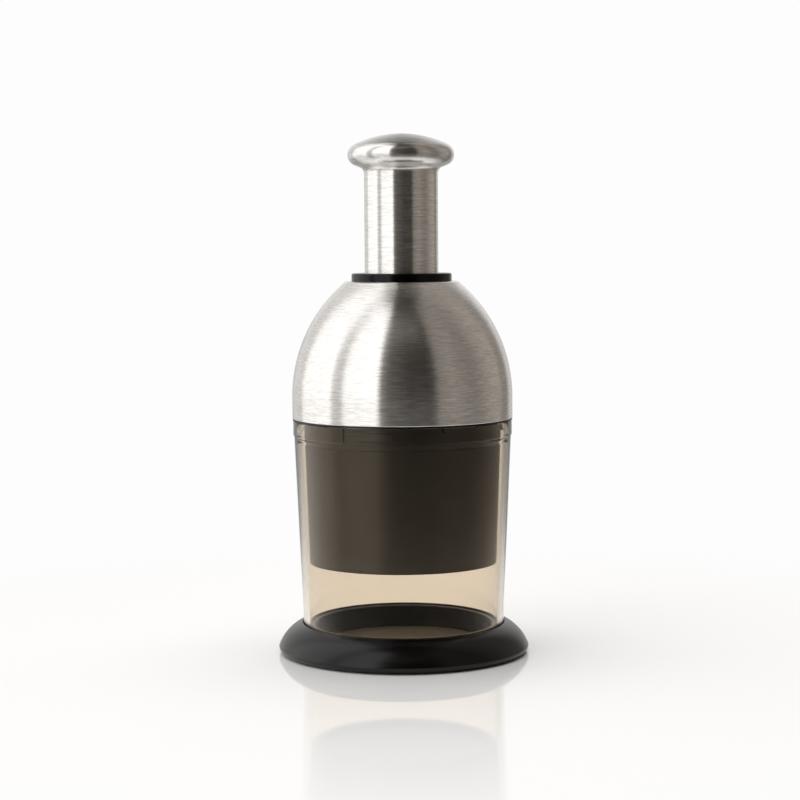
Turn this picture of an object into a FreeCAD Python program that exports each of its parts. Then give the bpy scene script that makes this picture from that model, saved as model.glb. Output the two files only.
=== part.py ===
import FreeCAD, Part
import math
import os
import re
import Sketcher

# Plunger food chopper, in millimetres. The axis is Z and the floor is z = 0.
# The front is -Y. Angles that place the bayonet are measured from the front towards +X.

SIZES = {
    # base tray, with its sleeve for the cup and the hollow that the foot ring closes
    "tray_lift": 0.8,
    "tray_floor": 1.4,
    "tray_height": 13.3,
    "flare_width": 10.5,
    "flare_height": 3.0,
    "flare_arc": 18.0,
    "edge_arc": 2.6,
    "edge_inset": 1.1,
    "lip_crest": 0.4,
    "lip_wall": 2.1,
    "cup_seat": 5.0,
    "cup_play": 0.4,
    "sleeve_play": 0.7,
    "sleeve_wall": 1.8,
    "sleeve_height": 13.0,
    "sleeve_round": 0.5,
    "bead_half": 0.6,
    "bead_arc": 0.8,
    "bead_drop": 2.5,
    "relief_step": 1.2,
    "relief_roof": 2.0,
    "hollow_width": 4.8,
    "hollow_peak": 9.6,
    "hollow_side": 4.5,
    "hollow_arc": 16.0,
    "tray_rib": 1.2,
    "tray_rib_count": 12,
    "rib_overlap": 0.8,
    # foot ring and chopping disc
    "foot_depth": 2.0,
    "foot_play": 0.1,
    "foot_round": 0.5,
    "disc_thick": 1.4,
    "disc_play": 0.2,
    "gate_radius": 2.2,
    "gate_depth": 0.3,
    # cup
    "cup_height": 97.0,
    "cup_band_radius": 47.7,
    "cup_band_step": 0.4,
    "cup_taper": 3.2,
    "cup_foot_step": 0.2,
    "cup_low_height": 17.0,
    "cup_wall": 2.6,
    "cup_band": 6.5,
    "cup_groove": 0.5,
    "cup_groove_depth": 0.4,
    "cup_rim_round": 0.4,
    # bayonet
    "lug_height": 2.7,
    "lug_depth": 1.5,
    "lug_start": -32.3,
    "lug_span": 28.7,
    "lug_lead": 1.0,
    "stop_span": 1.6,
    "stop_drop": 3.5,
    "lug_play": 0.2,
    "tooth_height": 3.2,
    "tooth_depth": 1.6,
    "tooth_play": 0.9,
    "tooth_short": 2.0,
    "pad_depth": 1.4,
    "pad_start": 22.5,
    "pad_span": 17.0,
    # guard inside the cup
    "guard_play": 0.4,
    "guard_taper": 2.2,
    "guard_bottom": 40.0,
    "guard_wall": 1.8,
    "guard_step": 0.3,
    "guard_step_height": 52.0,
    "guard_rise": 6.0,
    "guard_lip": 2.0,
    "guard_lip_thick": 1.6,
    "shelf_drop": 3.0,
    "shelf_thick": 2.0,
    "shelf_width": 2.9,
    # steel dome and its liner
    "head_gap": 0.1,
    "flange_thick": 0.5,
    "flange_over": 0.2,
    "dome_over": 0.3,
    "dome_height": 58.9,
    "dome_side": 9.7,
    "dome_crest": 25.26,
    "dome_skin": 0.8,
    "hem_height": 1.6,
    "hem_arc": 1.3,
    "liner_gap": 0.15,
    "liner_wall": 2.0,
    "web_gap": 0.3,
    "web_thick": 2.0,
    "skirt_play": 0.4,
    "skirt_wall": 3.0,
    "boss_radius": 4.0,
    "boss_circle": 30.0,
    "boss_angle": 30.0,
    # collar bush and its ring nut
    "collar_radius": 21.8,
    "collar_thick": 4.3,
    "collar_round": 0.8,
    "bush_play": 0.3,
    "bush_wall": 2.7,
    "bush_seat_play": 0.2,
    "shell_hole_play": 0.5,
    "bush_length": 18.5,
    "nut_radius": 23.4,
    "nut_thick": 5.0,
    "nut_notch": 3.0,
    "nut_notch_depth": 1.4,
    "nut_notch_count": 6,
    # bridge, its screws and the index nut
    "bridge_thick": 2.5,
    "bridge_play": 0.2,
    "post_wall": 2.2,
    "post_height": 38.0,
    "index_nut_height": 5.0,
    "index_nut_wall": 0.85,
    "press_gap": 0.05,
    "screw_radius": 1.2,
    "screw_length": 13.5,
    "screw_head": 2.9,
    "screw_head_height": 1.8,
    "screw_clear": 1.7,
    "screw_sink": 1.3,
    "sink_play": 0.1,
    # plunger
    "stem_radius": 16.0,
    "stem_wall": 0.8,
    "travel": 42.0,
    "knob_gap": 1.7,
    "stop_thick": 3.0,
    "stop_width": 2.5,
    "stop_play": 0.2,
    "tube_tail": 0.4,
    "knob_radius": 23.1,
    "knob_height": 16.5,
    "knob_crown": 47.0,
    "knob_rim": 5.1,
    "knob_under": 4.7,
    "knob_slope": 22.0,
    "knob_neck": 1.4,
    "knob_fillet": 2.4,
    "knob_lip": 0.2,
    "knob_skin": 0.8,
    "tube_into_knob": 2.5,
    "core_gap": 0.15,
    "core_web": 7.0,
    "core_pocket": 9.0,
    "pilot_radius": 9.6,
    "pilot_height": 4.0,
    # return spring
    "wire_radius": 0.9,
    "coil_radius": 11.0,
    "coil_turns": 9,
    "closed_pitch": 2.4,
    "spring_seat_gap": 0.1,
    # drive shaft
    "shaft_radius": 6.2,
    "shaft_fit": 0.1,
    "shaft_neck": 5.0,
    "shaft_play": 0.4,
    "shaft_foot": 0.225,
    "square_side": 8.4,
    "square_fit": 0.1,
    "square_margin": 4.0,
    "index_angle": 36.0,
    "spigot_side": 6.0,
    "washer_radius": 7.2,
    "washer_thick": 0.9,
    "bolt_radius": 1.95,
    "bolt_fit": 0.05,
    "bolt_depth": 11.0,
    "bolt_head": 3.8,
    "bolt_head_height": 1.9,
    # blades, carrier and ejector
    "edge_gap": 0.8,
    "blade_height": 44.5,
    "blade_thick": 0.6,
    "blade_ground": 1.2,
    "blade_edge": 0.1,
    "blade_play": 4.2,
    "blade_end_step": 0.3,
    "blade_root_radius": 12.0,
    "blade_end_angle": 50.0,
    "blade_root_angle": 28.0,
    "blade_tip_angle": 6.0,
    "blade_bend": 2.0,
    "blade_set": 1.5,
    "carrier_play": 2.2,
    "carrier_thick": 2.5,
    "hub_radius": 9.0,
    "hub_height": 1.5,
    "groove_gap": 0.05,
    "slot_gap": 0.5,
    "slot_wall": 0.8,
    "slot_wall_height": 2.5,
    "ejector_thick": 2.0,
    "ejector_play": 0.6,
    "ejector_gap": 0.3,
    "ejector_rim": 1.0,
}

# Sizes that follow from the ones above
RULES = {
    "cup_neck_radius": "cup_band_radius - cup_band_step",
    "cup_low_radius": "cup_neck_radius - cup_taper",
    "cup_foot_radius": "cup_low_radius - cup_foot_step",
    "disc_seat": "tray_lift + tray_floor",
    "disc_top": "disc_seat + disc_thick",
    "lip_radius": "cup_foot_radius + cup_play",
    "flare_radius": "lip_radius + flare_width",
    "sleeve_radius": "cup_foot_radius - cup_wall - sleeve_play",
    "sleeve_bore": "sleeve_radius - sleeve_wall",
    "bead_height": "sleeve_height - bead_drop",
    "hollow_in": "lip_radius + lip_wall",
    "hollow_out": "hollow_in + hollow_width",
    "cup_top": "cup_seat + cup_height",
    "band_bottom": "cup_top - cup_band",
    "band_bore": "cup_band_radius - cup_wall",
    "lug_bottom": "cup_top - lug_height",
    "lug_bore": "band_bore - lug_depth",
    "tooth_top": "lug_bottom - lug_play",
    "guard_radius": "lug_bore - guard_play",
    "guard_low_radius": "guard_radius - guard_taper",
    "shelf_top": "cup_top - shelf_drop",
    "shelf_bottom": "shelf_top - shelf_thick",
    "shelf_bore": "guard_upper_bore - shelf_width",
    "guard_step_z": "guard_bottom + guard_step_height",
    "guard_upper_bore": "guard_radius - guard_wall",
    "guard_low_bore": "guard_low_radius - guard_wall",
    "lip_bore": "guard_low_bore - guard_lip",
    "head_bottom": "cup_top + head_gap",
    "guard_top": "cup_top + guard_rise",
    "dome_bottom": "head_bottom + flange_thick",
    "dome_top": "dome_bottom + dome_height",
    "dome_radius": "cup_band_radius + dome_over",
    "shoulder_z": "dome_bottom + dome_side",
    "dome_lean": "dome_radius - dome_crest",
    "dome_rise": "dome_height - dome_side",
    "dome_arc": "(dome_lean^2 + dome_rise^2) / (2 * dome_lean)",
    "shoulder_x": "dome_radius - dome_arc",
    "liner_radius": "dome_radius - dome_skin - liner_gap",
    "liner_bore": "liner_radius - liner_wall",
    "liner_arc": "dome_arc - dome_skin - liner_gap",
    "liner_inner_arc": "liner_arc - liner_wall",
    "liner_top": "dome_top - dome_skin",
    "liner_ceiling": "liner_top - liner_wall",
    "web_bottom": "guard_top + web_gap",
    "skirt_radius": "guard_upper_bore - skirt_play",
    "collar_top": "dome_top + collar_thick",
    "bush_bore": "stem_radius + bush_play",
    "bush_radius": "bush_bore + bush_wall",
    "bush_bottom": "dome_top - bush_length",
    "bridge_top": "shelf_bottom",
    "bridge_bottom": "bridge_top - bridge_thick",
    "bridge_radius": "guard_upper_bore - guard_step - bridge_play",
    "post_bore": "shaft_radius + shaft_fit",
    "post_radius": "post_bore + post_wall",
    "post_top": "bridge_top + post_height",
    "index_z": "post_top - index_nut_height",
    "index_radius": "post_radius - index_nut_wall - press_gap - 0.5 * press_gap",
    "stop_top": "bush_bottom - stop_play",
    "tube_bottom": "stop_top - stop_thick - tube_tail",
    "knob_bottom": "collar_top + travel + knob_gap",
    "knob_top": "knob_bottom + knob_height",
    "tube_top": "knob_bottom + tube_into_knob",
    "stem_bore": "stem_radius - stem_wall",
    "crown_z": "knob_top - knob_crown",
    "rim_x": "knob_radius - knob_rim",
    "rim_z": "crown_z + sqrt((knob_crown - knob_rim)^2 - rim_x^2)",
    "under_x": "knob_radius - knob_under",
    "core_bottom": "tube_top - core_web",
    "pilot_bottom": "core_bottom - pilot_height",
    "twist": "-index_angle / travel",
    "square_bottom": "index_z - square_margin",
    "square_top": "post_top + travel + square_margin",
    "shaft_shoulder": "pilot_bottom - shaft_play",
    "shaft_top": "tube_top + shaft_play",
    "blade_tip_radius": "guard_low_bore - blade_play",
    "blade_end_radius": "blade_tip_radius - blade_end_step",
    "carrier_radius": "guard_low_bore - carrier_play",
    "edge_z": "disc_top + edge_gap + travel",
    "blade_top": "edge_z + blade_height",
    "carrier_bottom": "blade_top - blade_set",
    "carrier_top": "carrier_bottom + carrier_thick",
    "hub_top": "carrier_top + hub_height",
    "ejector_bottom": "guard_bottom + guard_lip_thick + ejector_gap",
    "ejector_top": "ejector_bottom + ejector_thick",
    "slot_wall_top": "ejector_top + slot_wall_height",
    "ejector_radius": "guard_low_bore - ejector_play",
}

doc = FreeCAD.newDocument("FoodChopper")
sheet = doc.addObject("Spreadsheet::Sheet", "dims")
for row, (size_name, size_value) in enumerate(SIZES.items(), start=1):
    sheet.set(f"A{row}", size_name)
    sheet.set(f"B{row}", str(size_value))
    sheet.setAlias(f"B{row}", size_name)
doc.recompute()

WORD = re.compile(r"\b[a-z][a-z_]+\b")


def bound(formula):
    """The formula as the document reads it, with every size taken from the sheet."""

    def expand(match):
        word = match.group(0)
        if word in RULES:
            return "(" + bound(RULES[word]) + ")"
        return "dims." + word if word in SIZES else word

    return WORD.sub(expand, formula)


def value(formula):
    return float(sheet.evalExpression(bound(formula)))


def bind(target, prop, formula):
    target.setExpression(prop, bound(formula))


def plane_of(body, role):
    return next(item for item in body.Origin.OriginFeatures if item.Role == role)


def new_body(label, base="0"):
    """A body whose own zero lies at the height given by base."""
    body = doc.addObject("PartDesign::Body", label)
    body.Label = label
    bind(body, "Placement.Base.z", base)
    return body


def new_sketch(body, name, role="XZ_Plane", turn="0", lift="0"):
    """A sketch on one of the body's planes, turned about Z and lifted along Z."""
    sketch = body.newObject("Sketcher::SketchObject", name)
    sketch.AttachmentSupport = [(plane_of(body, role), "")]
    sketch.MapMode = "FlatFace"
    axis = FreeCAD.Vector(0, 1, 0) if role == "XZ_Plane" else FreeCAD.Vector(0, 0, 1)
    sketch.AttachmentOffset = FreeCAD.Placement(FreeCAD.Vector(), FreeCAD.Rotation(axis, 1))
    bind(sketch, "AttachmentOffset.Rotation.Angle", turn)
    if role == "XY_Plane":
        bind(sketch, "AttachmentOffset.Base.z", lift)
    return sketch


def pin_point(sketch, geometry, end, across, up):
    """Ties one end of a line or arc to a place given by two formulas."""
    for kind, formula, axis in (("DistanceX", across, -2), ("DistanceY", up, -1)):
        amount = value(formula)
        if abs(amount) < 1e-9:
            sketch.addConstraint(Sketcher.Constraint("PointOnObject", geometry, end, axis))
            continue
        index = sketch.addConstraint(Sketcher.Constraint(kind, -1, 1, geometry, end, amount))
        bind(sketch, f"Constraints[{index}]", formula)


def arc_between(start, end, radius):
    """The shorter arc from start to end, to the left for a positive radius."""
    chord = end - start
    middle = (start + end) * 0.5
    side = FreeCAD.Vector(-chord.y, chord.x, 0).normalize()
    reach = math.sqrt(max(radius ** 2 - chord.Length ** 2 / 4, 0.0))
    centre = middle + side * math.copysign(reach, radius)
    first, last = (start, end) if radius > 0 else (end, start)
    angles = [math.atan2(p.y - centre.y, p.x - centre.x) for p in (first, last)]
    circle = Part.Circle(centre, FreeCAD.Vector(0, 0, 1), abs(radius))
    return Part.ArcOfCircle(circle, *angles)


def draw_outline(sketch, points, base="0"):
    """
    Closed outline through points of two formulas. The second is measured from the base.
    A third formula makes the side that ends at its point an arc of that radius, which
    bends to the left, or to the right where it starts with a minus sign.
    """
    places = [(p[0], p[1] if base == "0" else f"({p[1]}) - ({base})") for p in points]
    spots = [FreeCAD.Vector(value(x), value(y), 0) for x, y in places]
    first_geometry = sketch.GeometryCount
    ends = []
    for index, start in enumerate(spots):
        after = (index + 1) % len(spots)
        bend = points[after][2] if len(points[after]) > 2 else None
        if bend is None:
            sketch.addGeometry(Part.LineSegment(start, spots[after]), False)
            ends.append((1, 2))
            continue
        turn_right = bend.startswith("-")
        radius = bend[1:] if turn_right else bend
        curve = arc_between(start, spots[after], -value(radius) if turn_right else value(radius))
        sketch.addGeometry(curve, False)
        ends.append((2, 1) if turn_right else (1, 2))
        item = first_geometry + index
        number = sketch.addConstraint(Sketcher.Constraint("Radius", item, value(radius)))
        bind(sketch, f"Constraints[{number}]", radius)
    for index, (x, y) in enumerate(places):
        item = first_geometry + index
        after = first_geometry + (index + 1) % len(places)
        joined = ends[(index + 1) % len(places)][0]
        sketch.addConstraint(Sketcher.Constraint("Coincident", item, ends[index][1], after, joined))
        pin_point(sketch, item, ends[index][0], x, y)


def turn_profile(body, name, points, base="0", start="0", sweep=None, cut=False):
    """Revolves an outline about the body's Z axis, all round or through part of a turn."""
    sketch = new_sketch(body, name + "_profile", turn=start)
    draw_outline(sketch, points, base)
    kind = "PartDesign::Groove" if cut else "PartDesign::Revolution"
    feature = body.newObject(kind, name)
    feature.Profile = sketch
    feature.ReferenceAxis = (sketch, ["V_Axis"])
    feature.Angle = 360.0
    if sweep:
        bind(feature, "Angle", sweep)
    body.Tip = feature
    return feature


def turned_piece(label, base, points):
    body = new_body(label, base)
    turn_profile(body, label + "_turned", points, base)
    return body


def repeat_round(body, name, features, count):
    pattern = body.newObject("PartDesign::PolarPattern", name)
    pattern.Originals = features
    pattern.Axis = (plane_of(body, "Z_Axis"), [""])
    pattern.Angle = 360.0
    bind(pattern, "Occurrences", count)
    body.Tip = pattern
    return pattern


def draw_circle(sketch, across, up, radius):
    centre = FreeCAD.Vector(value(across), value(up), 0)
    circle = Part.Circle(centre, FreeCAD.Vector(0, 0, 1), value(radius))
    item = sketch.addGeometry(circle, False)
    pin_point(sketch, item, 3, across, up)
    index = sketch.addConstraint(Sketcher.Constraint("Radius", item, value(radius)))
    bind(sketch, f"Constraints[{index}]", radius)


def draw_square(sketch, side):
    half = f"{side} / 2"
    corners = [(f"-({half})", f"-({half})"), (half, f"-({half})"), (half, half), (f"-({half})", half)]
    draw_outline(sketch, corners)


def extrude(body, name, sketch, length, cut=False, upwards=True, both_ways=False):
    """Pads a sketch, or pockets it, by a length along +Z or -Z."""
    feature = body.newObject("PartDesign::Pocket" if cut else "PartDesign::Pad", name)
    feature.Profile = sketch
    bind(feature, "Length", length)
    feature.Reversed = upwards if cut else not upwards
    if both_ways:
        feature.SideType = "Symmetric"
    body.Tip = feature
    return feature


def three_round(across, offset="0"):
    """Three places on a circle, a third of a turn apart."""
    angles = [f"({offset} + {step})" for step in (0, 120, 240)]
    return [(f"{across} * cos({a})", f"{across} * sin({a})") for a in angles]


# The rules for where the dome's arcs meet a level

def arc_reach(arc, level):
    return f"shoulder_x + sqrt(({arc})^2 - ({level} - shoulder_z)^2)"


def make_base_tray():
    body = new_body("base_tray", "tray_lift")
    relief_in = "sleeve_bore + relief_step"
    relief_out = "lip_radius + cup_play"
    relief_top = "cup_seat - relief_roof"
    outline = [
        ("0", "tray_lift"),
        (relief_in, "tray_lift"),
        (relief_in, relief_top),
        (relief_out, relief_top),
        (relief_out, "tray_lift"),
        ("hollow_in", "tray_lift"),
        ("hollow_in", "hollow_peak"),
        ("hollow_out", "hollow_side", "-hollow_arc"),
        ("hollow_out", "tray_lift"),
        ("flare_radius - edge_inset", "tray_lift"),
        ("flare_radius", "flare_height", "edge_arc"),
        ("lip_radius + lip_crest", "tray_height", "flare_arc"),
        ("lip_radius", "tray_height"),
        ("lip_radius", "cup_seat"),
        ("sleeve_radius", "cup_seat"),
        ("sleeve_radius", "bead_height - bead_half"),
        ("sleeve_radius", "bead_height + bead_half", "bead_arc"),
        ("sleeve_radius", "sleeve_height - sleeve_round"),
        ("sleeve_radius - sleeve_round", "sleeve_height", "sleeve_round"),
        ("sleeve_bore + sleeve_round", "sleeve_height"),
        ("sleeve_bore", "sleeve_height - sleeve_round", "sleeve_round"),
        ("sleeve_bore", "disc_seat"),
        ("0", "disc_seat"),
    ]
    turn_profile(body, "tray_wall", outline, "tray_lift")
    rib_sketch = new_sketch(body, "tray_rib_profile")
    rib = [
        ("hollow_in - rib_overlap", "foot_depth"),
        ("hollow_out + rib_overlap", "foot_depth"),
        ("hollow_out + rib_overlap", "hollow_side"),
        ("hollow_in - rib_overlap", "hollow_peak + rib_overlap"),
    ]
    draw_outline(rib_sketch, rib, "tray_lift")
    rib_pad = extrude(body, "tray_rib_pad", rib_sketch, "tray_rib", both_ways=True)
    repeat_round(body, "tray_ribs", [rib_pad], "tray_rib_count")
    return body


def make_foot_ring():
    inner = "hollow_in + foot_play"
    outer = "hollow_out - foot_play"
    return turned_piece("foot_ring", "0", [
        (f"{outer} - foot_round", "0"),
        (outer, "foot_round", "foot_round"),
        (outer, "foot_depth"),
        (inner, "foot_depth"),
        (inner, "foot_round"),
        (f"{inner} + foot_round", "0", "foot_round"),
    ])


def make_chopping_disc():
    radius = "sleeve_bore - disc_play"
    return turned_piece("chopping_disc", "disc_seat", [
        ("0", "disc_seat"),
        (radius, "disc_seat"),
        (radius, "disc_top"),
        ("gate_radius", "disc_top"),
        ("0", "disc_top - gate_depth"),
    ])


def make_cup():
    body = new_body("cup", "cup_seat")
    groove_bottom = "band_bottom - cup_groove"
    groove_radius = "cup_neck_radius - cup_groove_depth"
    low = "cup_seat + cup_low_height"
    wall = [
        ("cup_foot_radius - cup_wall", "cup_seat"),
        ("cup_foot_radius", "cup_seat"),
        ("cup_low_radius", low),
        ("cup_neck_radius", groove_bottom),
        (groove_radius, groove_bottom),
        (groove_radius, "band_bottom"),
        ("cup_band_radius", "band_bottom"),
        ("cup_band_radius", "cup_top - cup_rim_round"),
        ("cup_band_radius - cup_rim_round", "cup_top", "cup_rim_round"),
        ("band_bore + cup_rim_round", "cup_top"),
        ("band_bore", "cup_top - cup_rim_round", "cup_rim_round"),
        ("band_bore", f"{groove_bottom} - cup_groove"),
        ("cup_neck_radius - cup_wall", f"{groove_bottom} - cup_wall"),
        ("cup_low_radius - cup_wall", low),
    ]
    turn_profile(body, "cup_wall_turned", wall, "cup_seat")
    root = "band_bore + cup_rim_round"
    lug = [
        ("lug_bore", "lug_bottom"),
        (root, "lug_bottom"),
        (root, "cup_top - cup_rim_round"),
        ("lug_bore + cup_rim_round", "cup_top - cup_rim_round"),
        ("lug_bore", "cup_top - 2 * cup_rim_round"),
    ]
    stop = [
        ("lug_bore", "lug_bottom - stop_drop"),
        (root, "lug_bottom - stop_drop"),
        (root, "lug_bottom + lug_lead"),
        ("lug_bore", "lug_bottom + lug_lead"),
    ]
    lug_turn = turn_profile(body, "cup_lug", lug, "cup_seat", "lug_start - 90", "lug_span")
    stop_turn = turn_profile(
        body, "cup_stop", stop, "cup_seat", "lug_start - 90 - stop_span / 2", "stop_span")
    repeat_round(body, "cup_lugs", [lug_turn, stop_turn], "3")
    return body


def make_guard():
    body = new_body("guard", "guard_bottom")
    lip_top = "guard_bottom + guard_lip_thick"
    shelf_wall = "guard_upper_bore - guard_step"
    wall = [
        ("lip_bore", "guard_bottom"),
        ("guard_low_radius", "guard_bottom"),
        ("guard_radius - guard_step", "guard_step_z"),
        ("guard_radius", "guard_step_z + guard_step"),
        ("guard_radius", "guard_top"),
        ("guard_upper_bore", "guard_top"),
        ("guard_upper_bore", "shelf_top"),
        ("shelf_bore", "shelf_top"),
        ("shelf_bore", "shelf_bottom"),
        (shelf_wall, "shelf_bottom"),
        (shelf_wall, "guard_step_z"),
        ("guard_low_bore", lip_top),
        ("lip_bore", lip_top),
    ]
    turn_profile(body, "guard_wall_turned", wall, "guard_bottom")
    root = "guard_radius - guard_step"
    tooth_bottom = "tooth_top - tooth_height"
    tooth = [
        (root, tooth_bottom),
        ("guard_radius + tooth_depth - guard_step", tooth_bottom),
        ("guard_radius + tooth_depth", f"{tooth_bottom} + guard_step"),
        ("guard_radius + tooth_depth", "tooth_top"),
        (root, "tooth_top"),
    ]
    pad = [
        (root, "tooth_top"),
        ("guard_radius + pad_depth", "tooth_top"),
        ("guard_radius + pad_depth", "cup_top + head_gap"),
        (root, "cup_top + head_gap"),
    ]
    tooth_turn = turn_profile(body, "guard_tooth", tooth, "guard_bottom",
                              "lug_start - 90 + tooth_play",
                              "lug_span - tooth_play - tooth_short")
    pad_turn = turn_profile(body, "guard_pad", pad, "guard_bottom", "pad_start - 90", "pad_span")
    repeat_round(body, "guard_teeth", [tooth_turn, pad_turn], "3")
    return body


def make_dome_shell():
    hole = "bush_radius + shell_hole_play"
    inner_arc = "dome_arc - dome_skin"
    under = "dome_top - dome_skin"
    return turned_piece("dome_shell", "dome_bottom", [
        ("dome_radius - dome_skin", "dome_bottom"),
        ("dome_radius", "dome_bottom"),
        ("dome_radius", "dome_bottom + hem_height", "hem_arc"),
        ("dome_radius", "shoulder_z"),
        (arc_reach("dome_arc", "dome_top"), "dome_top", "dome_arc"),
        (hole, "dome_top"),
        (hole, under),
        (arc_reach(inner_arc, under), under),
        ("dome_radius - dome_skin", "shoulder_z", "-" + inner_arc),
    ])


def make_dome_liner():
    body = new_body("dome_liner", "head_bottom")
    bosses = new_sketch(body, "boss_circles", "XY_Plane", lift="bridge_top - head_bottom")
    for across, up in three_round("boss_circle", "boss_angle"):
        draw_circle(bosses, across, up, "boss_radius")
        draw_circle(bosses, across, up, "screw_radius + press_gap")
    extrude(body, "screw_bosses", bosses, "liner_top - bridge_top")
    beyond = "dome_radius + dome_height"
    trim = [
        ("liner_radius", "shoulder_z", "-liner_arc"),
        (beyond, "shoulder_z"),
        (beyond, "liner_top + dome_height"),
        (arc_reach("liner_arc", "liner_top"), "liner_top + dome_height"),
        (arc_reach("liner_arc", "liner_top"), "liner_top"),
    ]
    turn_profile(body, "boss_trim", trim, "head_bottom", cut=True)
    hole = "bush_radius + bush_seat_play"
    wall = [
        ("liner_bore", "head_bottom"),
        ("cup_band_radius + flange_over", "head_bottom"),
        ("cup_band_radius + flange_over", "dome_bottom"),
        ("liner_radius", "dome_bottom"),
        ("liner_radius", "shoulder_z"),
        (arc_reach("liner_arc", "liner_top"), "liner_top", "liner_arc"),
        (hole, "liner_top"),
        (hole, "liner_ceiling"),
        (arc_reach("liner_inner_arc", "liner_ceiling"), "liner_ceiling"),
        ("liner_bore", "shoulder_z", "-liner_inner_arc"),
        ("liner_bore", "web_bottom + web_thick"),
        ("skirt_radius - skirt_wall", "web_bottom + web_thick"),
        ("skirt_radius - skirt_wall", "shelf_top"),
        ("skirt_radius", "shelf_top"),
        ("skirt_radius", "web_bottom"),
        ("liner_bore", "web_bottom"),
    ]
    turn_profile(body, "liner_wall_turned", wall, "head_bottom")
    return body


def make_collar_bush():
    return turned_piece("collar_bush", "bush_bottom", [
        ("bush_bore", "bush_bottom"),
        ("bush_radius", "bush_bottom"),
        ("bush_radius", "dome_top"),
        ("collar_radius", "dome_top"),
        ("collar_radius", "collar_top - collar_round"),
        ("collar_radius - collar_round", "collar_top", "collar_round"),
        ("bush_bore + collar_round", "collar_top"),
        ("bush_bore", "collar_top - collar_round"),
    ])


def make_collar_nut():
    body = new_body("collar_nut", "liner_ceiling - nut_thick")
    ring = [
        ("bush_radius + press_gap", "liner_ceiling - nut_thick"),
        ("nut_radius", "liner_ceiling - nut_thick"),
        ("nut_radius", "liner_ceiling"),
        ("bush_radius + press_gap", "liner_ceiling"),
    ]
    turn_profile(body, "nut_ring", ring, "liner_ceiling - nut_thick")
    notch = new_sketch(body, "nut_notch_outline", "XY_Plane")
    floor_radius = "nut_radius - nut_notch_depth"
    draw_outline(notch, [
        (floor_radius, "-nut_notch / 2"),
        ("nut_radius + nut_notch", "-nut_notch / 2"),
        ("nut_radius + nut_notch", "nut_notch / 2"),
        (floor_radius, "nut_notch / 2"),
    ])
    cut = extrude(body, "nut_notch_cut", notch, "nut_thick", cut=True)
    repeat_round(body, "nut_notches", [cut], "nut_notch_count")
    return body


def make_bridge():
    body = new_body("bridge", "bridge_bottom")
    pocket = "index_radius + press_gap"
    profile = [
        ("post_bore", "bridge_bottom"),
        ("bridge_radius", "bridge_bottom"),
        ("bridge_radius", "bridge_top"),
        ("post_radius", "bridge_top"),
        ("post_radius", "post_top"),
        (pocket, "post_top"),
        (pocket, "index_z"),
        ("post_bore", "index_z"),
    ]
    turn_profile(body, "bridge_turned", profile, "bridge_bottom")
    for name, radius, depth in (
        ("bridge_holes", "screw_clear", "bridge_thick"),
        ("bridge_sinks", "screw_head + sink_play", "screw_sink"),
    ):
        holes = new_sketch(body, name + "_plan", "XY_Plane")
        for across, up in three_round("boss_circle", "boss_angle"):
            draw_circle(holes, across, up, radius)
        extrude(body, name, holes, depth, cut=True)
    return body


def make_bridge_screws():
    seat = "bridge_bottom + screw_sink"
    body = new_body("bridge_screws", seat)
    heads = new_sketch(body, "screw_heads_plan", "XY_Plane")
    shanks = new_sketch(body, "screw_shanks_plan", "XY_Plane")
    for across, up in three_round("boss_circle", "boss_angle"):
        draw_circle(heads, across, up, "screw_head")
        draw_circle(shanks, across, up, "screw_radius")
    extrude(body, "screw_heads", heads, "screw_head_height", upwards=False)
    extrude(body, "screw_shanks", shanks, "screw_length")
    return body


def make_stop_ring():
    inner = "stem_radius + press_gap"
    return turned_piece("stop_ring", "stop_top - stop_thick", [
        (inner, "stop_top - stop_thick"),
        ("stem_radius + stop_width", "stop_top - stop_thick"),
        ("stem_radius + stop_width", "stop_top"),
        (inner, "stop_top"),
    ])


def make_plunger_tube():
    return turned_piece("plunger_tube", "tube_bottom", [
        ("stem_bore", "tube_bottom"),
        ("stem_radius", "tube_bottom"),
        ("stem_radius", "tube_top"),
        ("stem_bore", "tube_top"),
    ])


def crown_point(offset):
    """Where the crown meets the rim, on the skin or inside it by offset."""
    scale = f"(knob_crown - {offset}) / (knob_crown - knob_rim)"
    return f"rim_x * {scale}", f"crown_z + (rim_z - crown_z) * {scale}"


def under_point(offset):
    """Where the rim's lower round meets the slope below it."""
    radius = f"(knob_under - {offset})"
    return f"under_x + {radius} * sin(knob_slope)", f"rim_z - {radius} * cos(knob_slope)"


def make_knob_cap():
    skin = "knob_skin"
    outer_x, outer_z = under_point("0")
    inner_x, inner_z = under_point(skin)
    neck_x = "stem_radius + knob_neck"
    neck_z = f"{outer_z} - ({outer_x} - ({neck_x})) * tan(knob_slope)"
    inside_z = f"{inner_z} - ({inner_x} - ({neck_x})) * tan(knob_slope)"
    bore = "stem_radius + press_gap"
    return turned_piece("knob_cap", "knob_bottom", [
        (bore, "knob_bottom"),
        ("stem_radius + knob_lip", "knob_bottom"),
        (neck_x, neck_z, "-knob_fillet"),
        (outer_x, outer_z),
        ("knob_radius", "rim_z", "knob_under"),
        (*crown_point("0"), "knob_rim"),
        ("0", "knob_top", "knob_crown"),
        ("0", "knob_top - knob_skin"),
        (*crown_point(skin), "-(knob_crown - knob_skin)"),
        ("knob_radius - knob_skin", "rim_z", "-(knob_rim - knob_skin)"),
        (inner_x, inner_z, "-(knob_under - knob_skin)"),
        (neck_x, inside_z),
        (bore, inside_z),
    ])


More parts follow.
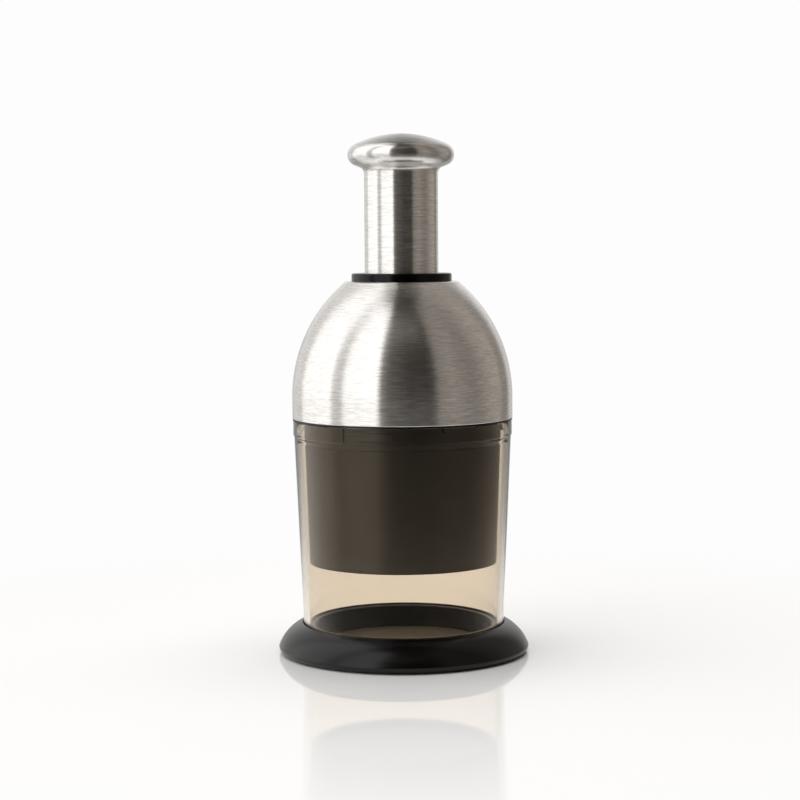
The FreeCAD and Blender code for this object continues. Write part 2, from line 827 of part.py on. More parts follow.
def make_knob_plug():
    inset = "(knob_skin + core_gap)"
    under_x, under_z = under_point(inset)
    neck_x = "stem_radius + knob_neck"
    neck_z = f"{under_z} - ({under_x} - ({neck_x})) * tan(knob_slope)"
    pocket_z = f"crown_z + sqrt((knob_crown - {inset})^2 - core_pocket^2)"
    spigot = "stem_bore - shaft_fit"
    return turned_piece("knob_plug", "pilot_bottom", [
        ("shaft_neck + shaft_fit", "pilot_bottom"),
        ("pilot_radius", "pilot_bottom"),
        ("pilot_radius", "core_bottom"),
        (spigot, "core_bottom"),
        (spigot, "tube_top"),
        ("stem_radius", "tube_top"),
        ("stem_radius", neck_z),
        (neck_x, neck_z),
        (under_x, under_z),
        (f"knob_radius - {inset}", "rim_z", f"knob_under - {inset}"),
        (*crown_point(inset), f"knob_rim - {inset}"),
        ("core_pocket", pocket_z, f"knob_crown - {inset}"),
        ("core_pocket", "tube_top"),
        ("shaft_neck + shaft_fit", "tube_top"),
    ])


def make_bolt(label, seat, upwards):
    """A pan-headed machine screw under whose head seat lies, with its shank along +Z or -Z."""
    sign = "+" if upwards else "-"
    other = "-" if upwards else "+"
    body = new_body(label, seat)
    crown = f"({seat}) {other} bolt_head_height"
    shoulder = f"({seat}) {other} bolt_head_height / 2"
    tip = f"({seat}) {sign} (bolt_depth - shaft_play)"
    outline = [
        ("0", tip),
        ("bolt_radius", tip),
        ("bolt_radius", seat),
        ("bolt_head", seat),
        ("bolt_head", shoulder),
        ("bolt_head - bolt_head_height / 2", crown,
         "-bolt_head_height / 2" if upwards else "bolt_head_height / 2"),
        ("0", crown),
    ]
    turn_profile(body, label + "_turned", outline, seat)
    return body


def make_washer(label, bottom):
    return turned_piece(label, bottom, [
        ("bolt_radius + shaft_fit", bottom),
        ("washer_radius", bottom),
        ("washer_radius", f"{bottom} + washer_thick"),
        ("bolt_radius + shaft_fit", f"{bottom} + washer_thick"),
    ])


def twisted_square(body, name, side, bottom, top, base, steps, cut=False):
    """A square that turns about Z at the index lead, lofted through turned sketches."""
    sections = []
    for step in range(steps + 1):
        height = f"({bottom}) + (({top}) - ({bottom})) * {step} / {steps}"
        section = new_sketch(
            body, f"{name}_section_{step}", "XY_Plane",
            turn=f"twist * ({height} - index_z)", lift=f"{height} - ({base})")
        draw_square(section, side)
        sections.append(section)
    doc.recompute()
    kind = "PartDesign::SubtractiveLoft" if cut else "PartDesign::AdditiveLoft"
    loft = body.newObject(kind, name)
    loft.Profile = sections[0]
    loft.Sections = sections[1:]
    body.Tip = loft
    return loft


def make_index_nut():
    body = new_body("index_nut", "index_z")
    ring = [
        ("0", "index_z"),
        ("index_radius", "index_z"),
        ("index_radius", "post_top"),
        ("0", "post_top"),
    ]
    turn_profile(body, "index_nut_turned", ring, "index_z")
    twisted_square(body, "index_hole", "(square_side + 2 * square_fit)",
                   "index_z - shaft_play", "post_top + shaft_play", "index_z", 3, cut=True)
    return body


def make_drive_shaft():
    foot = "carrier_bottom + shaft_foot"
    body = new_body("drive_shaft", foot)
    bore = "bolt_radius + bolt_fit"
    lower_end = "carrier_bottom - washer_thick + bolt_depth"
    upper_end = "shaft_top + washer_thick - bolt_depth"
    spigot = new_sketch(body, "spigot_plan", "XY_Plane")
    draw_square(spigot, "spigot_side")
    draw_circle(spigot, "0", "0", bore)
    extrude(body, "spigot", spigot, f"hub_top - ({foot})")
    turn_profile(body, "lower_journal", [
        ("0", lower_end),
        (bore, lower_end),
        (bore, "hub_top"),
        ("shaft_radius", "hub_top"),
        ("shaft_radius", "square_bottom"),
        ("0", "square_bottom"),
    ], foot)
    twisted_square(body, "index_square", "square_side", "square_bottom", "square_top", foot, 8)
    turn_profile(body, "upper_journal", [
        ("0", "square_top"),
        ("shaft_radius", "square_top"),
        ("shaft_radius", "shaft_shoulder"),
        ("shaft_neck", "shaft_shoulder"),
        ("shaft_neck", "shaft_top"),
        (bore, "shaft_top"),
        (bore, upper_end),
        ("0", upper_end),
    ], foot)
    return body


def zigzag_line(name, turn, height):
    """The centre line of one blade: a W of four rounded bends, turned about Z."""
    sketch = doc.addObject("Sketcher::SketchObject", name)
    sketch.Placement = FreeCAD.Placement(
        FreeCAD.Vector(), FreeCAD.Rotation(FreeCAD.Vector(0, 0, 1), 1))
    bind(sketch, "Placement.Rotation.Angle", turn)
    bind(sketch, "Placement.Base.z", height)
    stations = [
        ("blade_end_radius", "-blade_end_angle"),
        ("blade_root_radius", "-blade_root_angle"),
        ("blade_tip_radius", "-blade_tip_angle"),
        ("blade_tip_radius", "blade_tip_angle"),
        ("blade_root_radius", "blade_root_angle"),
        ("blade_end_radius", "blade_end_angle"),
    ]
    places = [(f"{reach} * cos({angle})", f"{reach} * sin({angle})") for reach, angle in stations]
    spots = [FreeCAD.Vector(value(x), value(y), 0) for x, y in places]
    bend = value("blade_bend")
    trimmed = [spots[0]]
    arcs = []
    for before, corner, after in zip(spots, spots[1:], spots[2:]):
        back = (before - corner).normalize()
        ahead = (after - corner).normalize()
        half = back.getAngle(ahead) / 2
        inset = bend / math.tan(half)
        middle = (back + ahead).normalize()
        start = corner + back * inset
        end = corner + ahead * inset
        crest = corner + middle * (bend / math.sin(half) - bend)
        arcs.append((start, crest, end))
        trimmed += [start, end]
    trimmed.append(spots[-1])
    legs = [Part.LineSegment(trimmed[i], trimmed[i + 1]) for i in range(0, len(trimmed), 2)]
    for leg in legs:
        sketch.addGeometry(leg, False)
    pin_point(sketch, 0, 1, *places[0])
    pin_point(sketch, len(legs) - 1, 2, *places[-1])
    for index, (start, crest, end) in enumerate(arcs):
        arc = sketch.addGeometry(Part.ArcOfCircle(start, crest, end), False)
        corner = sketch.addGeometry(Part.Point(spots[index + 1]), True)
        pin_point(sketch, corner, 1, *places[index + 1])
        sketch.addConstraint(Sketcher.Constraint("PointOnObject", corner, 1, index))
        sketch.addConstraint(Sketcher.Constraint("PointOnObject", corner, 1, index + 1))
        left_turn = (crest - start).cross(end - crest).z > 0
        first, last = (1, 2) if left_turn else (2, 1)
        sketch.addConstraint(Sketcher.Constraint("Tangent", index, 2, arc, first))
        sketch.addConstraint(Sketcher.Constraint("Tangent", arc, last, index + 1, 1))
        number = sketch.addConstraint(Sketcher.Constraint("Radius", arc, bend))
        bind(sketch, f"Constraints[{number}]", "blade_bend")
    return sketch


def zigzag_plan(name, turn, height, half_width, filled):
    """The outline of a strip that follows the blade's centre line, at one height."""
    band = doc.addObject("Part::Offset2D", name + "_plan")
    band.Source = zigzag_line(name + "_line", turn, height)
    band.Mode = "Pipe"
    band.Join = "Arc"
    band.Fill = filled
    bind(band, "Value", half_width)
    return band


def zigzag_band(name, turn, height, half_width, length):
    """A wall that stands on the blade's centre line, with a width and a height."""
    band = zigzag_plan(name, turn, height, half_width, True)
    wall = doc.addObject("Part::Extrusion", name)
    wall.Base = band
    wall.DirMode = "Custom"
    wall.Dir = FreeCAD.Vector(0, 0, 1)
    wall.Solid = True
    bind(wall, "LengthFwd", length)
    return wall


def bands_round(name, height, half_width, length):
    return [
        zigzag_band(f"{name}_{index + 1}", f"{120 * index}", height, half_width, length)
        for index in range(3)
    ]


def make_blades():
    """Three strips, each with a bevel ground on both sides of its lower edge."""
    strips = bands_round("blade_strip", "edge_z + blade_ground", "blade_thick / 2",
                         "blade_height - blade_ground")
    blades = []
    for index, strip in enumerate(strips):
        turn = f"{120 * index}"
        number = index + 1
        bevel = doc.addObject("Part::Loft", f"blade_bevel_{number}")
        bevel.Sections = [
            zigzag_plan(f"blade_edge_{number}", turn, "edge_z", "blade_edge / 2", False),
            zigzag_plan(f"blade_heel_{number}", turn, "edge_z + blade_ground",
                        "blade_thick / 2", False),
        ]
        bevel.Solid = True
        bevel.Ruled = True
        blade = doc.addObject("Part::MultiFuse", f"blade_{number}")
        blade.Shapes = [strip, bevel]
        blades.append(blade)
    return blades


def cut_with(label, base, tools):
    """The base with a group of tools taken away."""
    group = doc.addObject("Part::Compound", label + "_tools")
    group.Links = tools
    result = doc.addObject("Part::Cut", label)
    result.Base = base
    result.Tool = group
    return result


def make_blade_carrier():
    body = new_body("carrier_body", "carrier_bottom")
    turn_profile(body, "carrier_turned", [
        ("0", "carrier_bottom"),
        ("carrier_radius", "carrier_bottom"),
        ("carrier_radius", "carrier_top"),
        ("hub_radius", "carrier_top"),
        ("hub_radius", "hub_top"),
        ("0", "hub_top"),
    ], "carrier_bottom")
    seat = new_sketch(body, "spigot_hole_plan", "XY_Plane")
    draw_square(seat, "(spigot_side + 2 * press_gap)")
    extrude(body, "spigot_hole", seat, "hub_top - carrier_bottom", cut=True)
    grooves = bands_round("carrier_groove", "carrier_bottom - blade_set",
                          "blade_thick / 2 + groove_gap", "2 * blade_set + groove_gap")
    return cut_with("blade_carrier", body, grooves)


def make_ejector():
    body = new_body("ejector_body", "ejector_bottom")
    rim_bore = "ejector_radius - ejector_rim"
    turn_profile(body, "ejector_turned", [
        ("0", "ejector_bottom"),
        ("ejector_radius - ejector_gap", "ejector_bottom"),
        ("ejector_radius", "ejector_bottom + ejector_gap"),
        ("ejector_radius", "slot_wall_top"),
        (rim_bore, "slot_wall_top"),
        (rim_bore, "ejector_top"),
        ("0", "ejector_top"),
    ], "ejector_bottom")
    half_slot = "blade_thick / 2 + slot_gap"
    walls = bands_round("slot_wall_band", "ejector_bottom + ejector_thick / 2",
                        f"{half_slot} + slot_wall", "slot_wall_height + ejector_thick / 2")
    joined = doc.addObject("Part::MultiFuse", "ejector_joined")
    joined.Shapes = [body] + walls
    slots = bands_round("slot_band", "ejector_bottom - ejector_thick", half_slot,
                        "slot_wall_height + 3 * ejector_thick")
    return cut_with("ejector", joined, slots)


def biarc(start, start_way, end, end_way):
    """Two arcs that join two points along the given directions."""
    span = end - start
    ways = start_way + end_way
    slack = 2 * (1 - start_way.dot(end_way))
    along = span.dot(ways)
    reach = (math.sqrt(along ** 2 + slack * span.dot(span)) - along) / slack
    first_knee = start + start_way * reach
    last_knee = end - end_way * reach
    joint = (first_knee + last_knee) * 0.5
    edges = []
    for near, knee, far in ((start, first_knee, joint), (joint, last_knee, end)):
        middle = (near + far) * 0.5
        half_chord = (far - near).Length / 2
        rise = (knee - middle).Length
        sagitta = half_chord * math.tan(math.atan2(rise, half_chord) / 2)
        crest = middle + (knee - middle).normalize() * sagitta
        edges.append(Part.Arc(near, crest, far).toShape())
    return edges


def make_spring():
    """
    A wire wound round the post, with one closed turn at each end. It stands between the
    bridge and the knob's core.
    """
    turns = round(value("coil_turns"))
    coil = value("coil_radius")
    wire = value("wire_radius")
    closed = value("closed_pitch")
    low = value("bridge_top + spring_seat_gap") + wire
    high = value("core_bottom - spring_seat_gap") - wire
    open_pitch = (high - low - 2 * closed) / (turns - 2)

    def height(turn):
        opened = min(max(turn - 1, 0), turns - 2)
        return low + closed * (turn - opened) + open_pitch * opened

    def place(turn):
        angle = 2 * math.pi * turn
        return FreeCAD.Vector(coil * math.cos(angle), coil * math.sin(angle), height(turn))

    def way(turn):
        angle = 2 * math.pi * turn
        nudge = 0.125
        climb = (height(min(turn + nudge, turns)) - height(max(turn - nudge, 0)))
        climb /= min(turn + nudge, turns) - max(turn - nudge, 0)
        lead = climb / (2 * math.pi * coil)
        return FreeCAD.Vector(-math.sin(angle), math.cos(angle), lead).normalize()

    stops = [quarter / 4 for quarter in range(4 * turns + 1)]
    tail = 2 * wire
    edges = [Part.LineSegment(place(0) - way(0) * tail, place(0)).toShape()]
    for near, far in zip(stops, stops[1:]):
        edges += biarc(place(near), way(near), place(far), way(far))
    edges.append(Part.LineSegment(place(turns), place(turns) + way(turns) * tail).toShape())
    path = Part.Wire(edges)
    section = Part.Wire([Part.Circle(place(0) - way(0) * tail, way(0), wire).toShape()])
    sweep = Part.BRepOffsetAPI.MakePipeShell(path)
    sweep.add(section)
    sweep.build()
    sweep.makeSolid()

    samples = [place(step / 24) for step in range(24 * turns + 1)]
    gap = min(
        (a - b).Length
        for index, a in enumerate(samples)
        for b in samples[index + 12:]
    ) - 2 * wire
    print(f"spring: least gap between turns {gap:.2f} mm, open pitch {open_pitch:.2f} mm")
    spring = doc.addObject("Part::Feature", "spring")
    spring.Shape = sweep.shape()
    spring.Placement = FreeCAD.Placement()
    return spring


def make_all():
    pieces = [
        make_base_tray(),
        make_foot_ring(),
        make_chopping_disc(),
        make_cup(),
        make_guard(),
        make_dome_shell(),
        make_dome_liner(),
        make_collar_bush(),
        make_collar_nut(),
        make_bridge(),
        make_bridge_screws(),
        make_index_nut(),
        make_spring(),
        make_plunger_tube(),
        make_stop_ring(),
        make_knob_plug(),
        make_knob_cap(),
        make_drive_shaft(),
        make_washer("shaft_washer", "shaft_top"),
        make_bolt("shaft_screw", "shaft_top + washer_thick", upwards=False),
        make_washer("carrier_washer", "carrier_bottom - washer_thick"),
        make_bolt("carrier_screw", "carrier_bottom - washer_thick", upwards=True),
        make_blade_carrier(),
        make_ejector(),
    ]
    return pieces + make_blades()


def check(pieces):
    """Stops if a feature failed or a piece is not a valid solid."""
    for item in doc.Objects:
        if "Invalid" in item.State or "Error" in item.State:
            raise RuntimeError(f"{item.Name} failed: {item.State}")
    for piece in pieces:
        shape = piece.Shape
        if shape.isNull() or not shape.isValid() or not shape.Solids:
            raise RuntimeError(f"{piece.Label} is not a valid solid")


pieces = make_all()
doc.recompute()
check(pieces)
os.makedirs("parts", exist_ok=True)
for piece in pieces:
    piece.Shape.exportStep(f"parts/{piece.Label}.step")
    bounds = piece.Shape.BoundBox
    print(f"{piece.Label}: {len(piece.Shape.Solids)} solid(s), "
          f"z {bounds.ZMin:.2f} to {bounds.ZMax:.2f}, volume {piece.Shape.Volume:.0f}")
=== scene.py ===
# %% [markdown]
# # A plunger food chopper
#
# The chopper stands on a white table. A steel knob on a steel stem pushes a set of
# zigzag blades down through a steel dome into a smoky clear cup, and a wide black base
# holds the cup. This lesson dresses the measured model of the chopper, which is loaded
# as a fixed frame: every piece made here goes exactly where the measured one is.
#
# Everything is in metres, with Z up along the stem and the front at -Y. The outlines are
# written in millimetres, as a drawing would have them, and scaled once. The node trees,
# the lamps and the camera take metres.

import math

import bmesh
import bpy
import numpy as np
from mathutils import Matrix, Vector


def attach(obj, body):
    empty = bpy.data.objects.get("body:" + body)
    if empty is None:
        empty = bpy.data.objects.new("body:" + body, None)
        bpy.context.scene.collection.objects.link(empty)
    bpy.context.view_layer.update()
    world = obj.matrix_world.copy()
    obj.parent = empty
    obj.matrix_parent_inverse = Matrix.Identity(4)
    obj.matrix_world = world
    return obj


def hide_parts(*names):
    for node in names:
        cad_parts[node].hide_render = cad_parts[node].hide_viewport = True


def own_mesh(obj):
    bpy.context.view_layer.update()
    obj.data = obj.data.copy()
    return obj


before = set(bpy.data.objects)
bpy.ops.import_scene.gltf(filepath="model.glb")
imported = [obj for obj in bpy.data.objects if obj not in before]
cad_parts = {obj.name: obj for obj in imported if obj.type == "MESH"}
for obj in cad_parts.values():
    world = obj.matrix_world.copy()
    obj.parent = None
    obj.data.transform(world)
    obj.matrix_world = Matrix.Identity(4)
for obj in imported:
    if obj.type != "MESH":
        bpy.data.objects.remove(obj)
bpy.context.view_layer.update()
MM = 0.001

# %% [markdown]
# ## Writing shaders as sums
#
# A finish on this object is a small calculation: brushed steel, for one, is a noise that
# is pulled out long round the axis. Blender does such sums with a web of nodes, which is
# hard to read in a script. The class below wraps the output of a node, so that a plus or
# a times in Python adds the node that does it.

# %% A wire of a node tree
class Wire:
    """One output of a node in a tree, or only the tree, to start from."""

    def __init__(self, tree, socket=None):
        self.tree = tree
        self.socket = socket

    def node(self, kind, settings=None, inputs=None, output=0):
        """Adds any node: its settings are set first, then the values or wires of its inputs."""
        made = self.tree.nodes.new(kind)
        settings = dict(settings or {})
        stops = settings.pop("stops", None)
        for name, value in settings.items():
            setattr(made, name, value)
        if stops:
            set_stops(made.color_ramp, stops)
        for name, value in (inputs or {}).items():
            if isinstance(value, Wire):
                self.tree.links.new(value.socket, made.inputs[name])
            else:
                made.inputs[name].default_value = value
        return Wire(self.tree, made.outputs[output] if made.outputs else None)

    def maths(self, operation, *values):
        return self.node("ShaderNodeMath", {"operation": operation}, dict(enumerate(values)))

    def vector(self, *parts):
        """Three numbers or wires, joined as one vector."""
        return self.node("ShaderNodeCombineXYZ", {}, dict(enumerate(parts)))

    def parts(self, vector):
        """The three numbers of a vector."""
        split = self.node("ShaderNodeSeparateXYZ", {}, {0: vector})
        return [Wire(self.tree, split.socket.node.outputs[index]) for index in range(3)]

    def eased(self, start, end):
        """A soft step: 0 where this wire is at start, 1 where it is at end."""
        return self.node("ShaderNodeMapRange", {"interpolation_type": "SMOOTHSTEP"}, {
            "Value": self, "From Min": start, "From Max": end})

    def __add__(self, other):
        return self.maths("ADD", self, other)

    def __radd__(self, other):
        return self.maths("ADD", other, self)

    def __sub__(self, other):
        return self.maths("SUBTRACT", self, other)

    def __rsub__(self, other):
        return self.maths("SUBTRACT", other, self)

    def __mul__(self, other):
        return self.maths("MULTIPLY", self, other)

    def __truediv__(self, other):
        return self.maths("DIVIDE", self, other)


def set_stops(ramp, stops):
    """Gives a colour ramp its stops, each a place and a colour."""
    while len(ramp.elements) > 1:
        ramp.elements.remove(ramp.elements[-1])
    for index, (place, colour) in enumerate(stops):
        element = ramp.elements[0] if index == 0 else ramp.elements.new(place)
        element.position = place
        element.color = (*colour, 1)


def grey(level, warmth=0.0):
    """A neutral tone, or a slightly warm one."""
    return (level, level * (1 - 0.5 * warmth), level * (1 - warmth))


# %% [markdown]
# ## Outlines that are turned
#
# Most of this chopper is round, so most of its pieces are outlines turned about the
# axis. An outline is a list of corners, as radius and height. A third number makes the
# side that ends at that corner an arc of that radius, which bends to the left, or to the
# right where it is negative. No moulded or pressed edge is perfectly sharp, so each
# corner is then rounded a little: that thin round is what catches the light.

# %% Trace an outline
ROUND_POINTS = 5
SMOOTH_TURN = 12
ON_AXIS = 1e-6
TRIM_SHARE = 0.45


def arc_between(start, end, radius, step):
    """Points of the shorter arc from start to end, without its start."""
    chord = end - start
    length = np.linalg.norm(chord)
    side = np.array([-chord[1], chord[0]]) / length
    reach = math.sqrt(max(radius * radius - length * length / 4, 0.0))
    centre = (start + end) / 2 + side * math.copysign(reach, radius)
    first = math.atan2(*(start - centre)[::-1])
    turn = 2 * math.asin(min(length / 2 / abs(radius), 1.0)) * math.copysign(1, radius)
    count = max(2, math.ceil(abs(math.degrees(turn)) / step))
    angles = first + turn * np.arange(1, count + 1) / count
    points = centre + abs(radius) * np.stack([np.cos(angles), np.sin(angles)], 1)
    points[-1] = end
    return points


def trace(corners, soft=0.15, step=2.0, closed=True):
    """The outline as points, with its arcs drawn and its corners rounded by soft."""
    spots = [np.array(corner[:2], float) for corner in corners]
    line = []
    for index, corner in enumerate(corners):
        if len(corner) > 2:
            line.extend(arc_between(spots[index - 1], spots[index], corner[2], step))
        else:
            line.append(spots[index])
    count = len(line)
    rounded = []
    for index, spot in enumerate(line):
        before, after = line[index - 1], line[(index + 1) % count]
        back, ahead = before - spot, after - spot
        back_length, ahead_length = np.linalg.norm(back), np.linalg.norm(ahead)
        on_axis = spot[0] < ON_AXIS
        open_end = not closed and index in (0, count - 1)
        cosine = np.dot(back, ahead) / max(back_length * ahead_length, 1e-9)
        turn = 180 - math.degrees(math.acos(max(-1.0, min(1.0, cosine))))
        if on_axis or open_end or turn < SMOOTH_TURN:
            rounded.append(spot)
            continue
        trim = min(soft, TRIM_SHARE * back_length, TRIM_SHARE * ahead_length)
        near = spot + back / back_length * trim
        far = spot + ahead / ahead_length * trim
        for part in np.linspace(0, 1, ROUND_POINTS):
            rest = 1 - part
            rounded.append(rest ** 2 * near + 2 * part * rest * spot + part ** 2 * far)
    return np.array(rounded)


# %% [markdown]
# A turned piece reflects the room in long clean bands, so its shading must not ripple.
# The script works out the true normal of each ring from the outline and stores it on the
# mesh, which is smoother than anything that averaging the faces gives.

# %% Turn an outline
def new_piece(name, points, faces):
    mesh = bpy.data.meshes.new(name)
    mesh.from_pydata((np.asarray(points) * MM).tolist(), [], faces)
    mesh.validate()
    piece = bpy.data.objects.new(name, mesh)
    bpy.context.scene.collection.objects.link(piece)
    return piece


def ring_normals(line):
    """The outward normal at each point, led by the longer of the sides that meet there."""
    before = line - np.roll(line, 1, 0)
    after = np.roll(line, -1, 0) - line
    on_axis = line[:, 0] < ON_AXIS
    before[on_axis & np.roll(on_axis, 1)] = 0
    after[on_axis & np.roll(on_axis, -1)] = 0
    total = before + after
    normals = np.stack([total[:, 1], -total[:, 0]], 1)
    return normals / np.maximum(np.linalg.norm(normals, axis=1, keepdims=True), 1e-12)


def turned(name, corners, soft=0.15, step=2.0, around=240):
    """A closed piece of revolution, with an outline that runs anticlockwise."""
    line = trace(corners, soft, step)
    area = np.sum(line[:, 0] * np.roll(line[:, 1], -1) - np.roll(line[:, 0], -1) * line[:, 1])
    if area < 0:
        line = line[::-1]
    flat = ring_normals(line)
    turn = np.arange(around) * 2 * math.pi / around
    cos, sin = np.cos(turn), np.sin(turn)
    points, normals, starts = [], [], []
    for (radius, height), (out, up) in zip(line, flat):
        starts.append(len(points))
        if radius < ON_AXIS:
            points.append((0, 0, height))
            normals.append((0, 0, math.copysign(1, up)))
        else:
            points += list(zip(radius * cos, radius * sin, np.full(around, height)))
            normals += list(zip(out * cos, out * sin, np.full(around, up)))
    faces = []
    count = len(line)
    for index in range(count):
        low, high = starts[index], starts[(index + 1) % count]
        low_pole = line[index][0] < ON_AXIS
        high_pole = line[(index + 1) % count][0] < ON_AXIS
        if low_pole and high_pole:
            continue
        for step_round in range(around):
            after = (step_round + 1) % around
            if low_pole:
                faces.append((low, high + after, high + step_round))
            elif high_pole:
                faces.append((low + step_round, low + after, high))
            else:
                faces.append((low + step_round, low + after, high + after, high + step_round))
    piece = new_piece(name, points, faces)
    piece.data.shade_smooth()
    piece.data.normals_split_custom_set_from_vertices(normals)
    print(f"{name}: {len(line)} rings, {len(faces)} faces")
    return piece


def dress(piece, body, slot, material, *nodes):
    """Gives a piece its material, the body that it rides on and the nodes that it stands for."""
    piece.data.materials.clear()
    piece.data.materials.append(material)
    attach(piece, body)
    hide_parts(*nodes)


# %% [markdown]
# ## Brushed steel
#
# The dome, the knob and the stem are stainless steel, brushed while they spin. The brush
# leaves hair lines that run round the axis. They blur a reflection up and down but not
# sideways, which is why the dome shows upright bands. Blender's anisotropic reflection
# does that blur, and a noise pulled out long round the axis draws the hair lines
# themselves, in the colour, the roughness and a faint bump. The noise reads the place on
# the piece: radius and height give the line, and a slow change round the axis ends it.

# %% Brushed steel
def new_material(name):
    material = bpy.data.materials.new(name)
    material.use_nodes = True
    material.node_tree.nodes.clear()
    return material, Wire(material.node_tree)


def surface_of(wire, shader):
    wire.node("ShaderNodeOutputMaterial", {}, {"Surface": shader})


def place_of(wire):
    """The place on the piece, in metres."""
    return wire.node("ShaderNodeTexCoord", {}, {}, "Object")


def noise_at(wire, vector, scale, detail=2.0, roughness=0.5):
    return wire.node("ShaderNodeTexNoise", {}, {
        "Vector": vector, "Scale": scale, "Detail": detail, "Roughness": roughness}, "Fac")


def tint_between(wire, dark, light, factor):
    return wire.node("ShaderNodeMix", {"data_type": "RGBA"}, {
        "Factor": factor, 6: (*dark, 1), 7: (*light, 1)}, 2)


def bump_of(wire, strength, distance, height):
    return wire.node("ShaderNodeBump", {}, {
        "Strength": strength, "Distance": distance, "Height": height})


ACROSS_THE_BRUSH = 0.25
HAIR_CONTRAST = 2.8


def brushed_steel(name, dark, light, roughness, pull, lines=2000, slow=170):
    """Steel with hair lines: lines and slow are how fast the noise runs across and along."""
    material, wire = new_material(name)
    x, y, z = wire.parts(place_of(wire))
    across = z - wire.maths("SQRT", x * x + y * y)
    hair = wire.vector(x * slow, y * slow, across * lines)
    hair_line = (noise_at(wire, hair, 1.0, 4.0, 0.75) - 0.5) * HAIR_CONTRAST + 0.5
    broad = wire.vector(x * (slow / 2), y * (slow / 2), across * (lines / 8))
    broad_line = noise_at(wire, broad, 1.0)
    both = hair_line * 0.8 + broad_line * 0.2
    shader = wire.node("ShaderNodeBsdfPrincipled", {}, {
        "Base Color": tint_between(wire, dark, light, both), "Metallic": 1.0,
        "Roughness": roughness + (hair_line - 0.5) * 0.04 + (broad_line - 0.5) * 0.02,
        "Anisotropic": pull, "Anisotropic Rotation": ACROSS_THE_BRUSH,
        "Normal": bump_of(wire, 0.20, 0.00002, both)})
    surface_of(wire, shader)
    return material


STEEL_DARK = (0.55, 0.538, 0.518)
STEEL_LIGHT = (0.98, 0.965, 0.94)
steel = brushed_steel("brushed_steel", STEEL_DARK, STEEL_LIGHT, 0.20, 0.95)
print("steel ready")

# %% [markdown]
# ## Moulded plastics and rubber
#
# The base, the guard inside the cup and the parts under the dome are moulded in a black
# plastic whose mould was finely blasted: up close it has a tight grain, and from a step
# away it only looks satin. A fine noise makes the grain and a slow one lets the sheen
# wander a little, as it does on any large moulding. The same recipe, with another tone,
# gloss and grain, gives the pale chopping disc, the rubber and the white acetal.

# %% Moulded plastics
SHEEN_WANDER = 45.0


def moulded(name, dark, light, roughness, grain=2600, depth=0.00003, strength=0.4,
            wander=0.06, level=0.5):
    material, wire = new_material(name)
    place = place_of(wire)
    fine = noise_at(wire, place, grain)
    slow = noise_at(wire, place, SHEEN_WANDER)
    shader = wire.node("ShaderNodeBsdfPrincipled", {}, {
        "Base Color": tint_between(wire, dark, light, slow),
        "Roughness": roughness + (slow - 0.5) * wander + (fine - 0.5) * wander,
        "Specular IOR Level": level, "Normal": bump_of(wire, strength, depth, fine)})
    surface_of(wire, shader)
    return material


black_plastic = moulded(
    "black_plastic", grey(0.0006), grey(0.0012), 0.24, strength=0.3, level=0.35)
guard_plastic = moulded(
    "guard_plastic", grey(0.010, 0.20), grey(0.013, 0.20), 0.40, strength=0.03, level=1.0)
collar_plastic = moulded(
    "collar_plastic", grey(0.0008), grey(0.0014), 0.16, grain=1200, strength=0.06, level=0.2)
disc_plastic = moulded(
    "disc_plastic", (0.50, 0.44, 0.37), (0.56, 0.50, 0.42), 0.24, strength=0.1)
soft_rubber = moulded(
    "soft_rubber", grey(0.016), grey(0.028), 0.72, grain=1800, level=0.3)
white_acetal = moulded(
    "white_acetal", grey(0.70, 0.04), grey(0.78, 0.04), 0.36, grain=900, strength=0.15)
print("plastics ready")

# %% [markdown]
# ## The smoky cup's plastic
#
# The cup is clear, with a brown smoke in it. Light that goes right through crosses four
# faces of plastic, and each takes a little blue and green away, so one face is nearly
# clear and the whole cup is beige. A trace of flow, left by the moulding, moves its
# roughness a hair. The mirror image on its face is held low, since the real cup shows
# hardly any of the bright room on the left.

# %% Smoky clear plastic
CUP_IOR = 1.40
FAINT_MIRROR = (0.22, 0.21, 0.19, 1)
FLOW_TINT = 0.985


def smoky_clear(name, colour):
    material, wire = new_material(name)
    x, y, z = wire.parts(place_of(wire))
    streak = noise_at(wire, wire.vector(x * 30, y * 30, z * 8), 1.0)
    dark = tuple(FLOW_TINT * channel for channel in colour)
    shader = wire.node("ShaderNodeBsdfPrincipled", {}, {
        "Base Color": tint_between(wire, dark, colour, streak),
        "Roughness": 0.015 + streak * 0.02, "IOR": CUP_IOR, "Specular Tint": FAINT_MIRROR,
        "Transmission Weight": 1.0, "Normal": bump_of(wire, 0.04, 0.0002, streak)})
    surface_of(wire, shader)
    return material


smoky_cup = smoky_clear("smoky_cup", (0.86, 0.785, 0.68))
print("smoky plastic ready")

# %% [markdown]
# ## Bright metals
#
# The blades are cold rolled strip, which keeps the faint straight grain of the rolls.
# The spring is drawn wire and the screws are zinc plated. They are small, so one recipe
# serves them: a fine grain, pulled out along one direction, and a mottle.

# %% Strip, wire and plating
MOTTLE = 350.0


def bright_metal(name, dark, light, roughness, stretch):
    material, wire = new_material(name)
    place = place_of(wire)
    x, y, z = wire.parts(place)
    pulled = wire.vector(x * stretch[0], y * stretch[1], z * stretch[2])
    grain = noise_at(wire, pulled, 1.0, 3.0, 0.6)
    mottle = noise_at(wire, place, MOTTLE)
    shader = wire.node("ShaderNodeBsdfPrincipled", {}, {
        "Base Color": tint_between(wire, dark, light, mottle), "Metallic": 1.0,
        "Roughness": roughness + (grain - 0.5) * 0.12 + (mottle - 0.5) * 0.06,
        "Normal": bump_of(wire, 0.2, 0.00001, grain)})
    surface_of(wire, shader)
    return material


